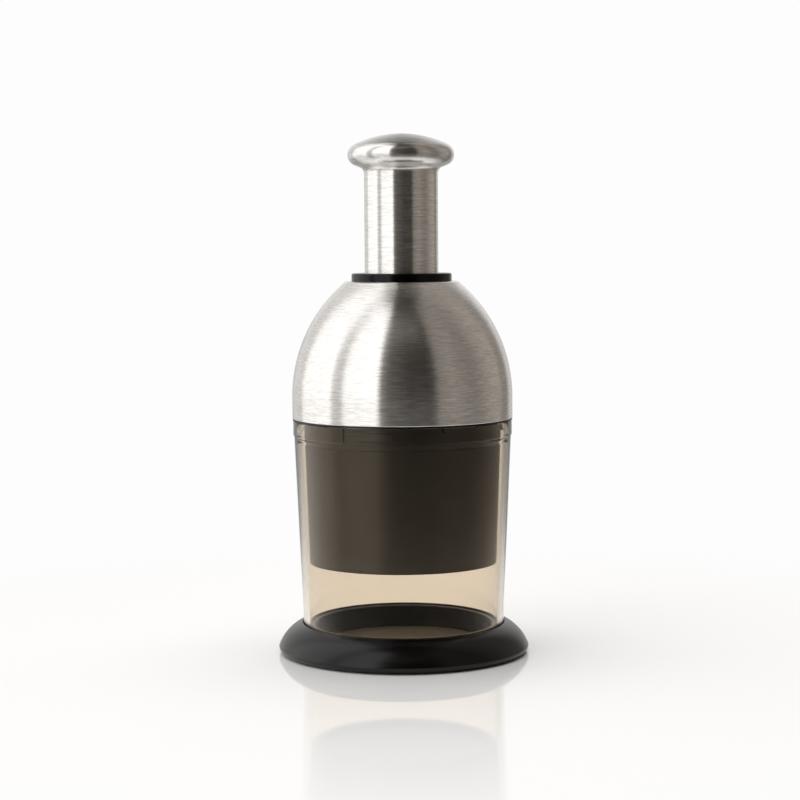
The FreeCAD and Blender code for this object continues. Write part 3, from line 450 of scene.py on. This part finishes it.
blade_steel = bright_metal("blade_steel", grey(0.60), grey(0.74), 0.24, (300, 300, 4000))
spring_steel = bright_metal("spring_steel", grey(0.42), grey(0.56), 0.30, (900, 900, 900))
plated_steel = bright_metal("plated_steel", (0.60, 0.60, 0.62), (0.72, 0.72, 0.74), 0.26,
                            (1500, 1500, 1500))
print("metals ready")

# %% [markdown]
# ## The base
#
# The base is one black moulding: a flared skirt, a lip that the cup drops inside, and a
# short sleeve that the cup slides over. It is turned from one outline. Ribs stiffen the
# hollow under the skirt. They repeat round the axis, so geometry nodes place them: a
# circle of points, and on each point one thin block, turned to face the axis.

# %% The base tray
TRAY = [
    (0, 0.8), (40.0, 0.8), (40.0, 3.0), (44.7, 3.0), (44.7, 0.8), (46.4, 0.8),
    (46.4, 9.6), (51.2, 4.5, -16.0), (51.2, 0.8), (53.7, 0.8), (54.8, 3.0, 2.6),
    (44.7, 13.3, 18.0), (44.3, 13.3), (44.3, 5.0), (40.6, 5.0), (40.6, 9.9),
    (40.6, 11.1, 0.8), (40.6, 12.5), (40.1, 13.0, 0.5), (39.3, 13.0), (38.8, 12.5, 0.5),
    (38.8, 2.2), (0, 2.2),
]
tray = turned("base_moulding", TRAY, soft=0.2)
dress(tray, "base", "black_plastic", black_plastic, "base_tray")

# %% The ribs under the skirt
def new_tree(name, inputs):
    """A wire to build an empty geometry tree with, and the wires of its named inputs."""
    tree = bpy.data.node_groups.new(name, "GeometryNodeTree")
    for label, (kind, value) in inputs.items():
        socket = tree.interface.new_socket(label, in_out="INPUT", socket_type=kind)
        if value is not None:
            socket.default_value = value
    tree.interface.new_socket("Geometry", in_out="OUTPUT", socket_type="NodeSocketGeometry")
    group = tree.nodes.new("NodeGroupInput")
    return Wire(tree), {label: Wire(tree, group.outputs[label]) for label in inputs}


def close_tree(wire, geometry, material):
    """The end of every tree: real geometry with its material."""
    real = wire.node("GeometryNodeRealizeInstances", {}, {"Geometry": geometry})
    set_on = wire.node("GeometryNodeSetMaterial", {}, {"Geometry": real, "Material": material})
    wire.node("NodeGroupOutput", {}, {"Geometry": set_on})


def grown(name, tree, values):
    """Runs a tree with the given inputs and keeps the result as a plain mesh."""
    seed = bpy.data.objects.new(name + "_seed", bpy.data.meshes.new(name + "_seed"))
    bpy.context.scene.collection.objects.link(seed)
    modifier = seed.modifiers.new("grow", "NODES")
    modifier.node_group = tree
    for item in tree.interface.items_tree:
        if item.in_out == "INPUT" and item.name in values:
            modifier[item.identifier] = values[item.name]
    ready = seed.evaluated_get(bpy.context.evaluated_depsgraph_get())
    mesh = bpy.data.meshes.new_from_object(ready)
    mesh.name = name
    bpy.data.objects.remove(seed)
    piece = bpy.data.objects.new(name, mesh)
    bpy.context.scene.collection.objects.link(piece)
    print(f"{name}: {len(mesh.polygons)} faces")
    return piece


LENGTH = "NodeSocketFloat"
COUNT = "NodeSocketInt"
wire, rib = new_tree("ribs_round", {
    "Count": (COUNT, 12), "Middle": (LENGTH, 0.0488), "Reach": (LENGTH, 0.0058),
    "Thick": (LENGTH, 0.0012), "Low": (LENGTH, 0.0021), "High": (LENGTH, 0.0046)})
spots = wire.node("GeometryNodeMeshCircle", {}, {
    "Vertices": rib["Count"], "Radius": rib["Middle"]})
lift = wire.vector(0.0, 0.0, (rib["Low"] + rib["High"]) / 2)
spots = wire.node("GeometryNodeSetPosition", {}, {"Geometry": spots, "Offset": lift})
size = wire.vector(rib["Reach"], rib["Thick"], rib["High"] - rib["Low"])
block = wire.node("GeometryNodeMeshCube", {}, {"Size": size})
where = wire.node("GeometryNodeInputPosition")
flat_way = wire.node("ShaderNodeVectorMath", {"operation": "MULTIPLY"}, {
    0: where, 1: (1, 1, 0)})
facing = wire.node("FunctionNodeAlignRotationToVector", {"axis": "X"}, {"Vector": flat_way})
blocks = wire.node("GeometryNodeInstanceOnPoints", {}, {
    "Points": spots, "Instance": block, "Rotation": facing})
close_tree(wire, blocks, black_plastic)
ribs = grown("tray_ribs", wire.tree, {})
dress(ribs, "base", "black_plastic", black_plastic, "base_tray")

# %% [markdown]
# The foot ring is soft rubber, pressed up into the hollow, and it is what the chopper
# stands on. The chopping disc lies in the sleeve and takes the cuts of the blades. Both
# are turned. A small dimple in the disc shows where its mould was filled.

# %% The foot ring and the chopping disc
foot = turned("rubber_foot", [
    (50.6, 0.0), (51.1, 0.5, 0.5), (51.1, 2.0), (46.5, 2.0), (46.5, 0.5), (47.0, 0.0, 0.5),
], soft=0.1)
dress(foot, "base", "soft_rubber", soft_rubber, "foot_ring")
disc = turned("cutting_disc", [
    (0, 2.2), (38.6, 2.2), (38.6, 3.35), (38.35, 3.6), (2.6, 3.6), (2.2, 3.48), (0, 3.3),
], soft=0.12)
dress(disc, "base", "disc_plastic", disc_plastic, "chopping_disc")

# %% [markdown]
# ## The cup
#
# The cup is a thick clear tube, a little wider at the top, with a band and a fine groove
# near its rim. Inside the band are three lugs, under which the teeth of the guard turn,
# as on a bayonet. A plain turned outline cannot hold the lugs, so this outline changes as
# it goes round: the points that draw a lug lie flat on the wall where there is none.

# %% An outline that changes as it turns
THIRD = 120
TOUCHING = 1e-7


def settle(piece, sharp, weld=False):
    """Turns all faces outward and shades smoothly between the edges sharper than an angle."""
    shape = bmesh.new()
    shape.from_mesh(piece.data)
    if weld:
        bmesh.ops.remove_doubles(shape, verts=shape.verts, dist=TOUCHING)
        bmesh.ops.dissolve_degenerate(shape, edges=shape.edges, dist=TOUCHING)
    bmesh.ops.recalc_face_normals(shape, faces=shape.faces)
    shape.to_mesh(piece.data)
    shape.free()
    piece.data.shade_smooth()
    piece.data.set_sharp_from_angle(angle=math.radians(sharp))


def swept_round(name, outline_at, turns):
    """A closed ring whose outline, given by a function of the angle, has a fixed count."""
    rows = [np.asarray(outline_at(turn)) for turn in turns]
    count = len(rows[0])
    points = []
    for turn, row in zip(turns, rows):
        angle = math.radians(turn)
        points += [(r * math.cos(angle), r * math.sin(angle), z) for r, z in row]
    faces = []
    for index in range(len(turns)):
        here, there = index * count, (index + 1) % len(turns) * count
        for side in range(count):
            after = (side + 1) % count
            faces.append((here + side, there + side, there + after, here + after))
    piece = new_piece(name, points, faces)
    settle(piece, 30, weld=True)
    print(f"{name}: {len(piece.data.polygons)} faces")
    return piece


def turns_with(edges, step=2.0):
    """Angles all round, with a close pair at each edge of a lug or tooth."""
    close = 0.04
    turns = set(np.arange(0, 360, step).tolist())
    for edge in edges:
        turns |= {(edge - close) % 360, edge % 360, (edge + close) % 360}
    kept = []
    for turn in sorted(turns):
        if not kept or turn - kept[-1] > close / 2:
            kept.append(turn)
    return kept


def past(turn, start):
    """How far an angle is past a start, in the third of the circle that it lies in."""
    return (turn - start) % THIRD


# %% The cup
LUG_START = -32.3 - 90
LUG_SPAN = 28.7
LUG_LEAD = 1.4
STOP_SPAN = 1.6
BAND_BORE = 45.1
LUG_BORE = 43.6
LUG_LOW = 99.3
LEAD_RISE = 1.0
STOP_LOW = 95.8


def cup_outline(turn):
    lug = past(turn, LUG_START)
    stop = past(turn, LUG_START - STOP_SPAN / 2)
    on_wall = lug > LUG_SPAN and stop > STOP_SPAN
    low = LUG_LOW
    if lug <= LUG_SPAN:
        low += max(0.0, lug - (LUG_SPAN - LUG_LEAD)) / LUG_LEAD * LEAD_RISE
    if stop <= STOP_SPAN:
        low = STOP_LOW
    fixed = [
        (41.55, 5.0), (43.65, 5.0), (43.9, 5.25), (44.1, 22.0), (47.28, 94.85),
        (47.2, 95.0), (46.9, 95.05), (46.9, 95.45), (47.5, 95.5), (47.7, 95.75),
        (47.7, 101.55), (47.6, 101.85), (47.3, 102.0), (45.5, 102.0), (45.2, 101.85),
    ]
    if on_wall:
        inside = [(BAND_BORE, height) for height in (101.6, 101.4, 101.2, 99.4, LUG_LOW)]
    else:
        inside = [(BAND_BORE, 101.6), (LUG_BORE + 0.4, 101.6), (LUG_BORE, 101.2),
                  (LUG_BORE, low + 0.1), (BAND_BORE, low)]
    below = [(BAND_BORE, 94.6), (44.95, 93.9), (44.7, 92.4), (41.5, 22.0), (41.3, 5.25)]
    return fixed + inside + below


lug_edges = []
for third in range(3):
    for edge in (0, LUG_SPAN, LUG_SPAN - LUG_LEAD, -STOP_SPAN / 2, STOP_SPAN / 2):
        lug_edges.append(LUG_START + THIRD * third + edge)
cup = swept_round("clear_cup", cup_outline, turns_with(lug_edges))
dress(cup, "cup_body", "smoky_cup", smoky_cup, "cup")

# %% [markdown]
# ## The guard
#
# The dark drum that shows through the cup is the guard: it hangs under the dome and hides
# the blades at rest. Its teeth catch under the lugs of the cup. It is swept as the cup
# is, with teeth and spacing pads in place of lugs.

# %% The guard
TOOTH_START = LUG_START + 0.9
TOOTH_SPAN = 25.8
PAD_START = 22.5 - 90
PAD_SPAN = 17.0
DRUM_OUT = 43.2
TOOTH_OUT = 44.8
PAD_OUT = 44.6
TOOTH_CHAMFER = 0.3


def guard_outline(turn):
    tooth = past(turn, TOOTH_START) <= TOOTH_SPAN
    pad = past(turn, PAD_START) <= PAD_SPAN
    out = TOOTH_OUT if tooth else DRUM_OUT
    tooth_foot = TOOTH_OUT - TOOTH_CHAMFER if tooth else DRUM_OUT
    pad_out = PAD_OUT if pad else DRUM_OUT
    return [
        (37.2, 40.15), (37.35, 40.0), (40.8, 40.0), (41.0, 40.2), (42.9, 92.0),
        (DRUM_OUT, 92.3), (DRUM_OUT, 95.85), (tooth_foot, 95.9), (out, 96.2),
        (out, 98.9), (out, 99.1), (pad_out, 99.12), (pad_out, 101.9), (pad_out, 102.1),
        (DRUM_OUT, 102.12), (DRUM_OUT, 107.8), (43.0, 108.0), (41.6, 108.0), (41.4, 107.8),
        (41.4, 99.0), (38.6, 99.0), (38.5, 98.9), (38.5, 97.1), (38.6, 97.0),
        (41.1, 97.0), (41.1, 92.0), (39.2, 41.8), (39.1, 41.6), (37.35, 41.6),
        (37.2, 41.45),
    ]


tooth_edges = []
for third in range(3):
    for edge in (TOOTH_START, TOOTH_START + TOOTH_SPAN, PAD_START, PAD_START + PAD_SPAN):
        tooth_edges.append(edge + THIRD * third)
guard = swept_round("cup_guard", guard_outline, turns_with(tooth_edges))
dress(guard, "head", "black_plastic", guard_plastic, "guard")

# %% [markdown]
# ## The dome, its collar and the stem
#
# The dome is one sheet of steel, spun over a form, with a rounded edge at its foot, a
# hole at its top for the collar bush and a small raised round beside it. The bush is
# black and a little glossy, and the stem slides in it. All three are turned, and the
# dome has the closest rings, so that the bands of reflected light stay clean.

# %% The dome, the collar and the stem
DOME_ARC = 64.6
DOME_SKIN = 0.8
ARC_CENTRE = -16.6
ARC_FOOT = 112.3


def dome_side(radius, height):
    """How far out the dome's arc of a radius is at a height."""
    return ARC_CENTRE + math.sqrt(radius ** 2 - (height - ARC_FOOT) ** 2)


dome = turned("steel_dome", [
    (47.2, 102.8), (47.6, 102.8), (48.0, 103.2, 0.4), (48.0, ARC_FOOT),
    (dome_side(DOME_ARC, 161.3), 161.3, DOME_ARC), (23.6, 162.2, 2.2), (22.0, 162.3),
    (21.9, 161.5), (19.5, 161.5), (19.5, 160.7),
    (dome_side(DOME_ARC - DOME_SKIN, 160.7), 160.7),
    (47.2, ARC_FOOT, -(DOME_ARC - DOME_SKIN)),
], soft=0.10, step=1.0, around=300)
dress(dome, "head", "brushed_steel", steel, "dome_shell")
collar = turned("stem_collar", [
    (16.3, 143.0), (19.0, 143.0), (19.0, 161.5), (21.8, 161.5), (21.8, 165.0),
    (21.0, 165.8, 0.8), (17.1, 165.8), (16.3, 165.0),
], soft=0.2)
dress(collar, "head", "collar_plastic", collar_plastic, "collar_bush")
stem = turned("steel_stem", [
    (15.2, 139.4), (16.0, 139.4), (16.0, 212.0), (15.2, 212.0),
], soft=0.15)
dress(stem, "plunger", "brushed_steel", steel, "plunger_tube")

# %% [markdown]
# ## The knob
#
# The knob is a steel cap, drawn over a plastic core. From the side it is a shallow crown,
# a tight round rim, a sloping underside and a small fillet where it meets the stem. The
# outline is made of those arcs, each of which runs smoothly into the next.

# %% The knob
TOP = 226.0
KNOB_RADIUS = 23.1
CROWN = 47.0
RIM = 5.1
UNDER = 4.7
SLOPE = math.radians(22)
crown_z = TOP - CROWN
rim_x = KNOB_RADIUS - RIM
rim_z = crown_z + math.sqrt((CROWN - RIM) ** 2 - rim_x ** 2)
under_x = KNOB_RADIUS - UNDER


def crown_end(inset):
    scale = (CROWN - inset) / (CROWN - RIM)
    return rim_x * scale, crown_z + (rim_z - crown_z) * scale


def under_end(inset):
    return (under_x + (UNDER - inset) * math.sin(SLOPE),
            rim_z - (UNDER - inset) * math.cos(SLOPE))


SKIN = 0.8
NECK = 17.4
outer_x, outer_z = under_end(0)
inner_x, inner_z = under_end(SKIN)
neck_z = outer_z - (outer_x - NECK) * math.tan(SLOPE)
inside_z = inner_z - (inner_x - NECK) * math.tan(SLOPE)
knob = turned("steel_knob", [
    (16.05, 209.5), (16.2, 209.5), (NECK, neck_z, -2.4), (outer_x, outer_z),
    (KNOB_RADIUS, rim_z, UNDER), (*crown_end(0), RIM), (0, TOP, CROWN), (0, TOP - SKIN),
    (*crown_end(SKIN), -(CROWN - SKIN)), (KNOB_RADIUS - SKIN, rim_z, -(RIM - SKIN)),
    (inner_x, inner_z, -(UNDER - SKIN)), (NECK, inside_z), (16.05, inside_z),
], soft=0.1, step=1.5)
dress(knob, "plunger", "brushed_steel", steel, "knob_cap")

# %% [markdown]
# ## The spring
#
# The return spring is a wire wound round the post under the dome. Its shape follows a
# rule, so geometry nodes make it: a line of points is wound up by its own count, with one
# closed turn at each end, and a round section is drawn along it. It shortens as the stem
# goes down: the stroke takes 42 mm of the 108 mm that it has at rest.

# %% The spring
wire, coil = new_tree("wound_spring", {
    "Turns": (LENGTH, 9.0), "Coil": (LENGTH, 0.011), "Wire": (LENGTH, 0.0009),
    "Low": (LENGTH, 0.0), "High": (LENGTH, 0.0), "Closed": (LENGTH, 0.0024),
    "Points": (COUNT, 900)})
line = wire.node("GeometryNodeCurvePrimitiveLine", {}, {"Start": (0, 0, 0), "End": (0, 0, 1)})
line = wire.node("GeometryNodeResampleCurve", {}, {"Curve": line, "Count": coil["Points"]})
factor = wire.node("GeometryNodeSplineParameter", {}, {}, "Factor")
turn = factor * coil["Turns"]
opened = wire.maths("MINIMUM", wire.maths("MAXIMUM", turn - 1.0, 0.0), coil["Turns"] - 2.0)
span = coil["High"] - coil["Low"] - coil["Closed"] * 2.0
height = coil["Low"] + coil["Closed"] * (turn - opened) + opened * span / (coil["Turns"] - 2.0)
angle = turn * (2 * math.pi)
spot = wire.vector(coil["Coil"] * wire.maths("COSINE", angle),
                   coil["Coil"] * wire.maths("SINE", angle), height)
wound = wire.node("GeometryNodeSetPosition", {}, {"Geometry": line, "Position": spot})
section = wire.node("GeometryNodeCurvePrimitiveCircle", {}, {
    "Resolution": 16, "Radius": coil["Wire"]})
tube = wire.node("GeometryNodeCurveToMesh", {}, {
    "Curve": wound, "Profile Curve": section, "Fill Caps": True})
close_tree(wire, tube, spring_steel)
spring = grown("return_spring", wire.tree, {"Low": 0.0980, "High": 0.2040})
spring.data.shade_smooth()
dress(spring, "head", "spring_steel", spring_steel, "spring")
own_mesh(spring)

# %% [markdown]
# ## The blades
#
# Three strips of steel are bent in a zigzag and set on edge in the carrier. Each is cut
# from its centre line: the corners of the line are rounded as a bending tool leaves them,
# and a section with a ground lower edge is swept along it. The other two are the same
# blade a third of a turn further round.

# %% The blades
def bent_line(stations, bend, step=12.0):
    """A line through corners given by radius and angle, with each corner bent round."""
    spots = [np.array([r * math.cos(math.radians(a)), r * math.sin(math.radians(a))])
             for r, a in stations]
    line = [spots[0]]
    for before, corner, after in zip(spots, spots[1:], spots[2:]):
        back = (before - corner) / np.linalg.norm(before - corner)
        ahead = (after - corner) / np.linalg.norm(after - corner)
        half = math.acos(np.dot(back, ahead)) / 2
        inset = bend / math.tan(half)
        near, far = corner + back * inset, corner + ahead * inset
        left = back[0] * ahead[1] - back[1] * ahead[0] < 0
        line.append(near)
        line.extend(arc_between(near, far, bend if left else -bend, step))
    line.append(spots[-1])
    return np.array(line)


def swept_strip(name, line, section, turn):
    """A closed strip: a section of side offsets and heights, swept along a flat line."""
    ways = np.gradient(line, axis=0)
    ways /= np.linalg.norm(ways, axis=1, keepdims=True)
    sides = np.stack([-ways[:, 1], ways[:, 0]], 1)
    cos, sin = math.cos(math.radians(turn)), math.sin(math.radians(turn))
    points = []
    for spot, side in zip(line, sides):
        for offset, height in section:
            x, y = spot + side * offset
            points.append((x * cos - y * sin, x * sin + y * cos, height))
    count = len(section)
    faces = [tuple(range(count)), tuple(len(points) - 1 - index for index in range(count))]
    for index in range(len(line) - 1):
        for side in range(count):
            after = (side + 1) % count
            here, there = index * count, (index + 1) * count
            faces.append((here + side, here + after, there + after, there + side))
    piece = new_piece(name, points, faces)
    settle(piece, 25)
    return piece


STATIONS = [(34.7, -50), (12, -28), (35, -6), (35, 6), (12, 28), (34.7, 50)]
BEND = 2.0
SIDE = 0.6 / 2
EDGE_Z = 46.4
TOP_Z = EDGE_Z + 44.5
GROUND_Z = EDGE_Z + 1.2
CORNER = 0.1
blade_line = bent_line(STATIONS, BEND)
blade_section = [
    (-0.04, EDGE_Z), (0.04, EDGE_Z), (SIDE, GROUND_Z), (SIDE, TOP_Z - CORNER),
    (SIDE - CORNER, TOP_Z), (-SIDE + CORNER, TOP_Z), (-SIDE, TOP_Z - CORNER),
    (-SIDE, GROUND_Z),
]
for index in range(3):
    blade = swept_strip(f"zigzag_blade_{index + 1}", blade_line, blade_section, THIRD * index)
    dress(blade, "rotor", "blade_steel", blade_steel, f"blade_{index + 1}")
print("blades along", len(blade_line), "points")

# %% [markdown]
# ## The pieces that keep their measured shape
#
# The carrier, the ejector, the bridge, the nuts and the shaft are already right in the
# measured model, and they only need a finish.

# %% Finishes for the measured pieces
KEPT = {
    "dome_liner": black_plastic, "collar_nut": black_plastic, "bridge": black_plastic,
    "blade_carrier": black_plastic, "ejector": black_plastic, "knob_plug": black_plastic,
    "index_nut": white_acetal, "drive_shaft": white_acetal, "stop_ring": soft_rubber,
    "bridge_screws": plated_steel, "shaft_washer": plated_steel,
    "shaft_screw": plated_steel, "carrier_washer": plated_steel,
    "carrier_screw": plated_steel,
}
for node, material in KEPT.items():
    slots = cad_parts[node].material_slots
    for slot in slots:
        slot.material = material
    print(node, "has", material.name)

# %% [markdown]
# ## The table and the light
#
# The chopper stands on a glossy white table against white. A big soft light on the left,
# a dark room behind the camera and a greyer one on the right draw the upright bands in
# the steel. The world holds that room as tones by compass direction. The wall behind the
# chopper darkens upward, which shades the knob's crown, and a little at its foot. The
# front half of the ceiling is dark, with a faint strip before it. Under the horizon the
# walls are half as bright. What looks straight at the world, or through the cup at it,
# sees plain white.

# %% The room
def room_tone(level):
    """The dark side of the room is warm and its lights are nearly neutral."""
    return grey(level, 0.20 if level < 0.5 else 0.03)


def scaled(wire, vector, factor):
    return wire.node("ShaderNodeVectorMath", {"operation": "SCALE"}, {
        0: vector, "Scale": factor})


def path_facts(wire, *names):
    """Facts about the ray that is being traced."""
    path = wire.node("ShaderNodeLightPath")
    return [Wire(wire.tree, path.socket.node.outputs[name]) for name in names]


ROOM = [
    (-180, 0.90), (-165, 0.86), (-150, 0.80), (-132, 0.80), (-124, 1.35), (-82, 1.50),
    (-77, 0.72), (-68, 0.70), (-63, 1.40), (-26.5, 1.55), (-23, 0.22), (-14, 0.10),
    (8, 0.045), (26, 0.04), (33, 0.05), (40, 0.24), (55, 0.30), (72, 0.24), (82, 0.22),
    (92, 0.28), (105, 0.36), (122, 0.40), (130, 0.28), (141, 0.29), (150, 0.62),
    (165, 0.84), (180, 0.90),
]
SHADE_ABOVE = 0.80
SHADE_BELOW = 0.26
GLOW = (0.07, 0.066, 0.062)
STRIP_TIMES = 2.5
CEILING = 0.04
WHITE = (0.985, 0.983, 0.985, 1)
world = bpy.data.worlds.new("room")
bpy.context.scene.world = world
world.use_nodes = True
world.node_tree.nodes.clear()
wire = Wire(world.node_tree)
east, north, up = wire.parts(wire.node("ShaderNodeTexCoord", {}, {}, "Generated"))
compass = wire.maths("ARCTAN2", east, north * -1.0) / (2 * math.pi) + 0.5
around = wire.node("ShaderNodeValToRGB", {"stops": [
    ((angle + 180) / 360, room_tone(level)) for angle, level in ROOM]}, {"Fac": compass})
heading = north / wire.maths("SQRT", east * east + north * north)
behind = heading.eased(0.86, 0.97)
front = heading.eased(-0.80, -0.97)
shade = behind * up.eased(0.30, 0.80) * SHADE_ABOVE + behind * up.eased(0.16, 0.06) * SHADE_BELOW
underneath = up.eased(-0.02, -0.30)
walls = scaled(wire, around, (1.0 - shade) * (1.0 - underneath * 0.5))
strip = front * up.eased(0.66, 0.78) * up.eased(0.92, 0.84)
glow = scaled(wire, GLOW, underneath + strip * STRIP_TIMES)
walls = wire.node("ShaderNodeVectorMath", {"operation": "ADD"}, {0: walls, 1: glow})
tone = wire.node("ShaderNodeMix", {"data_type": "RGBA"}, {
    "Factor": up.eased(0.92, 0.985) * north.eased(0.12, 0.02), 6: walls,
    7: (*room_tone(CEILING), 1)}, 2)
seen, through, bounced, scattered = path_facts(
    wire, "Is Camera Ray", "Is Transmission Ray", "Glossy Depth", "Diffuse Depth")
straight = wire.maths("LESS_THAN", bounced + scattered, 0.5)
plain = wire.maths("MAXIMUM", seen, through * straight)
tone = wire.node("ShaderNodeMix", {"data_type": "RGBA"}, {
    "Factor": plain, 6: tone, 7: WHITE}, 2)
light = wire.node("ShaderNodeBackground", {}, {"Color": tone, "Strength": 1.0})
wire.node("ShaderNodeOutputWorld", {}, {"Surface": light})
print("room ready:", len(ROOM), "tones")

# %% [markdown]
# The table is only there near the chopper, where it shows the contact and the glossy
# mirror image. Further out it fades: the camera sees white there, and every other ray
# passes through it.

# %% The table
TABLE_REACH = 620
TABLE_SIDES = 64
FADE_START = 0.10
FADE_END = 0.38
material, wire = new_material("white_table")
place = place_of(wire)
x, y, _ = wire.parts(place)
out = wire.maths("SQRT", x * x + y * y)
cloud = noise_at(wire, place, 6.0)
lit = wire.node("ShaderNodeBsdfPrincipled", {}, {
    "Base Color": tint_between(wire, grey(0.90), grey(0.915), cloud),
    "Roughness": 0.03 + cloud * 0.02, "Specular IOR Level": 0.6})
seen = path_facts(wire, "Is Camera Ray")[0]
bare = wire.node("ShaderNodeEmission", {}, {"Color": WHITE, "Strength": 1.0})
open_floor = wire.node("ShaderNodeBsdfTransparent", {}, {"Color": (1, 1, 1, 1)})
bare = wire.node("ShaderNodeMixShader", {}, {0: seen, 1: open_floor, 2: bare})
mixed = wire.node("ShaderNodeMixShader", {}, {
    0: out.eased(FADE_START, FADE_END), 1: lit, 2: bare})
surface_of(wire, mixed)
table_points = [(0, 0, 0)]
table_faces = []
for index in range(TABLE_SIDES):
    angle = 2 * math.pi * index / TABLE_SIDES
    table_points.append((TABLE_REACH * math.cos(angle), TABLE_REACH * math.sin(angle), 0))
    table_faces.append((0, index + 1, (index + 1) % TABLE_SIDES + 1))
table = new_piece("white_table", table_points, table_faces)
table.data.materials.append(material)

# %% [markdown]
# Two wide lamps add the soft light on the white table and on the black base. They are
# hidden from reflections, since the world already holds what the steel should show.

# %% The lamps
def lamp(name, place, aim, size, power):
    data = bpy.data.lights.new(name, "AREA")
    data.shape = "RECTANGLE"
    data.size, data.size_y = size
    data.energy = power
    made = bpy.data.objects.new(name, data)
    bpy.context.scene.collection.objects.link(made)
    made.location = place
    made.rotation_euler = (Vector(aim) - Vector(place)).to_track_quat("-Z", "Y").to_euler()
    made.visible_glossy = False
    print(f"{name}: {power} W")


lamp("left_light", (-0.9, -0.5, 0.75), (0, 0, 0.08), (0.9, 0.9), 2.0)
lamp("top_light", (0.1, 0.15, 1.2), (0, 0, 0.05), (1.1, 1.1), 10.0)

# %% [markdown]
# ## The camera
#
# The photograph was taken from straight in front with a long lens, a little above the
# middle of the chopper and looking slightly down.

# %% The camera
SENSOR = 36.0
FOCAL_PIXELS = 2067
PICTURE_PIXELS = 800
CAMERA_AT = (-0.0006, -0.900, 0.1797)
LOOKS_DOWN = 4.40
ROLL = 0.36
camera_data = bpy.data.cameras.new("camera")
camera_data.sensor_width = SENSOR
camera_data.lens = FOCAL_PIXELS / PICTURE_PIXELS * SENSOR
camera = bpy.data.objects.new("camera", camera_data)
bpy.context.scene.collection.objects.link(camera)
camera.location = CAMERA_AT
camera.rotation_euler = (math.radians(90 - LOOKS_DOWN), math.radians(ROLL), 0)
bpy.context.scene.camera = camera
bpy.context.scene.view_settings.view_transform = "Standard"
print(f"camera ready: {camera_data.lens:.1f} mm")
